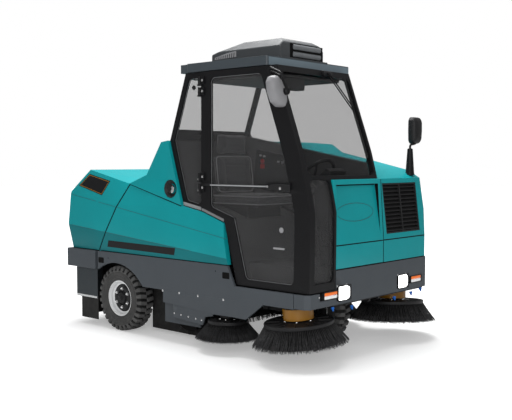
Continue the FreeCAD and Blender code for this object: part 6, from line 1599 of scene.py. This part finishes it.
def seat():
    """Cushion, back and headrest with sewn channels and piping."""
    cushion = puff(soft_box("seat_cushion", (0.126, -0.520, 1.0735), (0.610, -0.080, 1.141), 0.028,
                            "chassis"), 0.009, 1.090)
    for y in (-0.405, -0.195):
        groove(cushion, lambda p, n, y=y: abs(p.y - y) if n.z > 0.3 else None, 0.007, 0.006)
    groove(cushion, lambda p, n: abs(p.x - 0.500) if n.z > 0.3 else None, 0.005, 0.006)

    def lean(p):
        return Vector(((p.z - BACK_FOOT_Z) * BACK_SLOPE, 0, 0))
    back = puff(soft_box("seat_back", (0.124, -0.495, 1.158), (0.188, -0.105, 1.440), 0.028,
                         "chassis", lean), 0.008)
    for z in (1.230, 1.300, 1.370):
        groove(back, lambda p, n, z=z: abs(p.z - z) if n.x > 0.3 and abs(p.y + 0.3) < 0.115
               else None, 0.006, 0.006)
    for y in (-0.415, -0.185):
        groove(back, lambda p, n, y=y: abs(p.y - y) if n.x > 0.3 else None, 0.007, 0.006)
    head = puff(soft_box("seat_headrest", (0.0870, -0.443, 1.456), (0.1560, -0.157, 1.606), 0.024,
                         "chassis"), 0.006)
    for z in (1.490, 1.530, 1.570):
        groove(head, lambda p, n, z=z: abs(p.z - z) if n.x > 0.3 and abs(p.y + 0.3) < 0.055
               else None, 0.004, 0.005)
    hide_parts("seat_cushions")

    def build_piping(bm):
        for z in (1.137, 1.080):
            loop = rounded_loop([Vector((x, y, z)) for x, y in
                                 ((0.122, -0.524), (0.614, -0.524), (0.614, -0.076),
                                  (0.122, -0.076))], 0.035)
            add_tube(bm, loop, 0.0035, 0, 8, closed=True)
        loop = [(-0.498, 1.162), (-0.102, 1.162), (-0.102, 1.437), (-0.498, 1.437)]
        points = [Vector((0.180 + (z - BACK_FOOT_Z) * BACK_SLOPE, y, z)) for y, z in loop]
        add_tube(bm, rounded_loop(points, 0.035), 0.0035, 0, 8, closed=True)
    made("seat_piping", build_piping, PALE, "chassis")

    built("seat_pan", CHASSIS, "chassis",
          [(add_box, (0.150, -0.500, 1.060), (0.580, -0.100, 1.0725))], bevel=0.001)


# A service-door louvre: length, and fall of its lower line over that length
LOUVRE_LENGTH, LOUVRE_FALL = 0.165, 0.0244


def louvre_starts():
    """Front lower corners of the service door's two columns of louvres."""
    for x in (0.520, 0.725):
        for index in range(7):
            yield x, line_z(CREASE, x + 0.08) + 0.105 + 0.024 * index


def left_side():
    """Louvres as dark strips of painted shade under their teal lips, and the latches of the
    service door.
    """
    def on_side(x, z, out):
        return x, side_y(x, z, HOOD_LEAN) + out, z

    # Dark strips under the lips: painted shade in the louvre openings
    def build_louvre_shades(bm):
        for x, z in louvre_starts():
            end_x, end_z = x + LOUVRE_LENGTH, z - LOUVRE_FALL
            add_prism(bm, [on_side(px, pz, -0.001) for px, pz in
                           ((x, z), (end_x, end_z), (end_x, end_z + 0.009), (x, z + 0.009))],
                      (0, 0.0018, 0))
    made("service_louvre_shades", build_louvre_shades, SEAM_AND_SHADE_BLACK, "engine_door", (), 0.0004, 1)

    def build_lips(bm):
        for x, foot_z in louvre_starts():
            z = foot_z + 0.0095
            end_x, end_z = x + LOUVRE_LENGTH, z - LOUVRE_FALL
            lip = [bm.verts.new(on_side(*corner)) for corner in
                   ((x, z, 0.0055), (end_x, end_z, 0.0055), (end_x, end_z + 0.006, -0.001),
                    (x, z + 0.006, -0.001))]
            bm.faces.new(lip)
            under = [bm.verts.new(on_side(*corner)) for corner in
                     ((x, z, -0.001), (end_x, end_z, -0.001))]
            bm.faces.new([lip[0], under[0], under[1], lip[1]])
            bm.faces.new([lip[0], lip[3], under[0]])
            bm.faces.new([lip[1], under[1], lip[2]])
    made("service_louvre_lips", build_lips, TEAL, "engine_door")

    latch = [(0, 0.026), (0.004, 0.026), (0.006, 0.023), (0.006, 0.014), (0.012, 0.012)]
    latches = []
    for x in (0.480, 0.975):
        z = line_z(CREASE, x) + 0.072
        y = side_y(x, z, HOOD_LEAN)
        latches += [(add_lathe, (x, y - 0.001, z), (0, 1, HOOD_LEAN), latch, 28),
                    (add_box, (x - 0.018, y + 0.004, z - 0.004),
                     (x + 0.018, y + 0.013, z + 0.004))]
    built("service_latches", MOULDED, "engine_door", latches, bevel=0.0012,
          segments=2)


def creases():
    """Dark teal strips along the two creases of the teal sides: painted shade of the formed lines.
    """
    pieces = (("crease_shade_side", "chassis",
               ((-1, CREASE, -0.955, 0.515), (-1, LOW_CREASE, -0.900, 0.1456),
                (1, CREASE, -0.955, 0.030), (1, LOW_CREASE, -0.900, 0.030))),
              ("crease_shade_cover", "hopper",
               [(side, line, -1.325, -0.990) for _, side in SIDES
                for line in (CREASE, LOW_CREASE)]))
    for name, body, routes in pieces:
        built(name, GROOVE_SHADE_TEAL, body,
              [(face_strip, [(x, side * BODY_HALF, line_z(line, x)) for x in (low_x, high_x)],
                0.0035, 0.0004, Y * side) for side, line, low_x, high_x in routes])


def rear_end():
    """Grab handle on the hopper's rear, and plugs in the bumper."""
    x, z, half = -1.356, 0.990, 0.180
    out_x = x - 0.030
    foot = [(0, 0.024), (0.008, 0.024), (0.012, 0.015)]
    built("hopper_grab_handle", MOULDED, "hopper",
          [(add_tube, [(x, -half, z), (out_x, -half, z), (out_x, half, z), (x, half, z)], 0.011,
            0.022, 12)]
          + [(add_lathe, (x + 0.003, y, z), -X, foot, 20) for y in (-half, half)])
    built("bumper_plugs", MOULDED, "hopper",
          [(add_lathe, (REAR_X + 0.0005, y, 0.570), -X, [(-0.004, 0.030), (0.0, 0.030)], 24)
           for y in (-0.470, 0.470)], bevel=0.001, segments=2)


def hopper_plate():
    """Plain dark plate with a thin ochre border, and a plain stripe on the lower facet."""
    outline = [(-1.241, 1.190), (-0.923, 1.115), (-0.840, 1.235), (-1.117, 1.290)]

    def skin(points, out):
        return [(x, -(side_y(x, z) + out), z) for x, z in points]
    built("hopper_side_plate", BLACK, "hopper",
          [(add_prism, skin(outline, 0.0002), (0, -0.0016, 0))], bevel=0.0006)

    def build_border(bm):
        outer, inner = inset(outline, 0.007), inset(outline, 0.011)
        rings = [[bm.verts.new(p) for p in skin(loop, out)]
                 for loop, out in ((outer, 0.001), (outer, 0.0022), (inner, 0.0022),
                                   (inner, 0.001))]
        join_rings(bm, rings + rings[:1])
    made("hopper_plate_border", build_border, OCHRE, "hopper")
    stripe = [(-0.860, 0.690), (-0.042, 0.682), (-0.022, 0.738), (-0.838, 0.745)]
    built("side_stripe", BLACK, "chassis",
          [(add_prism, skin(stripe, 0.0002), (0, -0.0010, 0))], bevel=0.0004)


place_camera()
make_world()
make_lights()
make_floor()
body_panels()
wheels()
brushes()
main_brush()
door_trim()
cab_trim()
front_trim()
lamps()
side_trim()
roof_trim()
mirrors()
wiper()
arms()
nozzles()
interior()
seat()
left_side()
rear_end()
creases()
hopper_plate()

bpy.context.scene.view_settings.view_transform = "Standard"
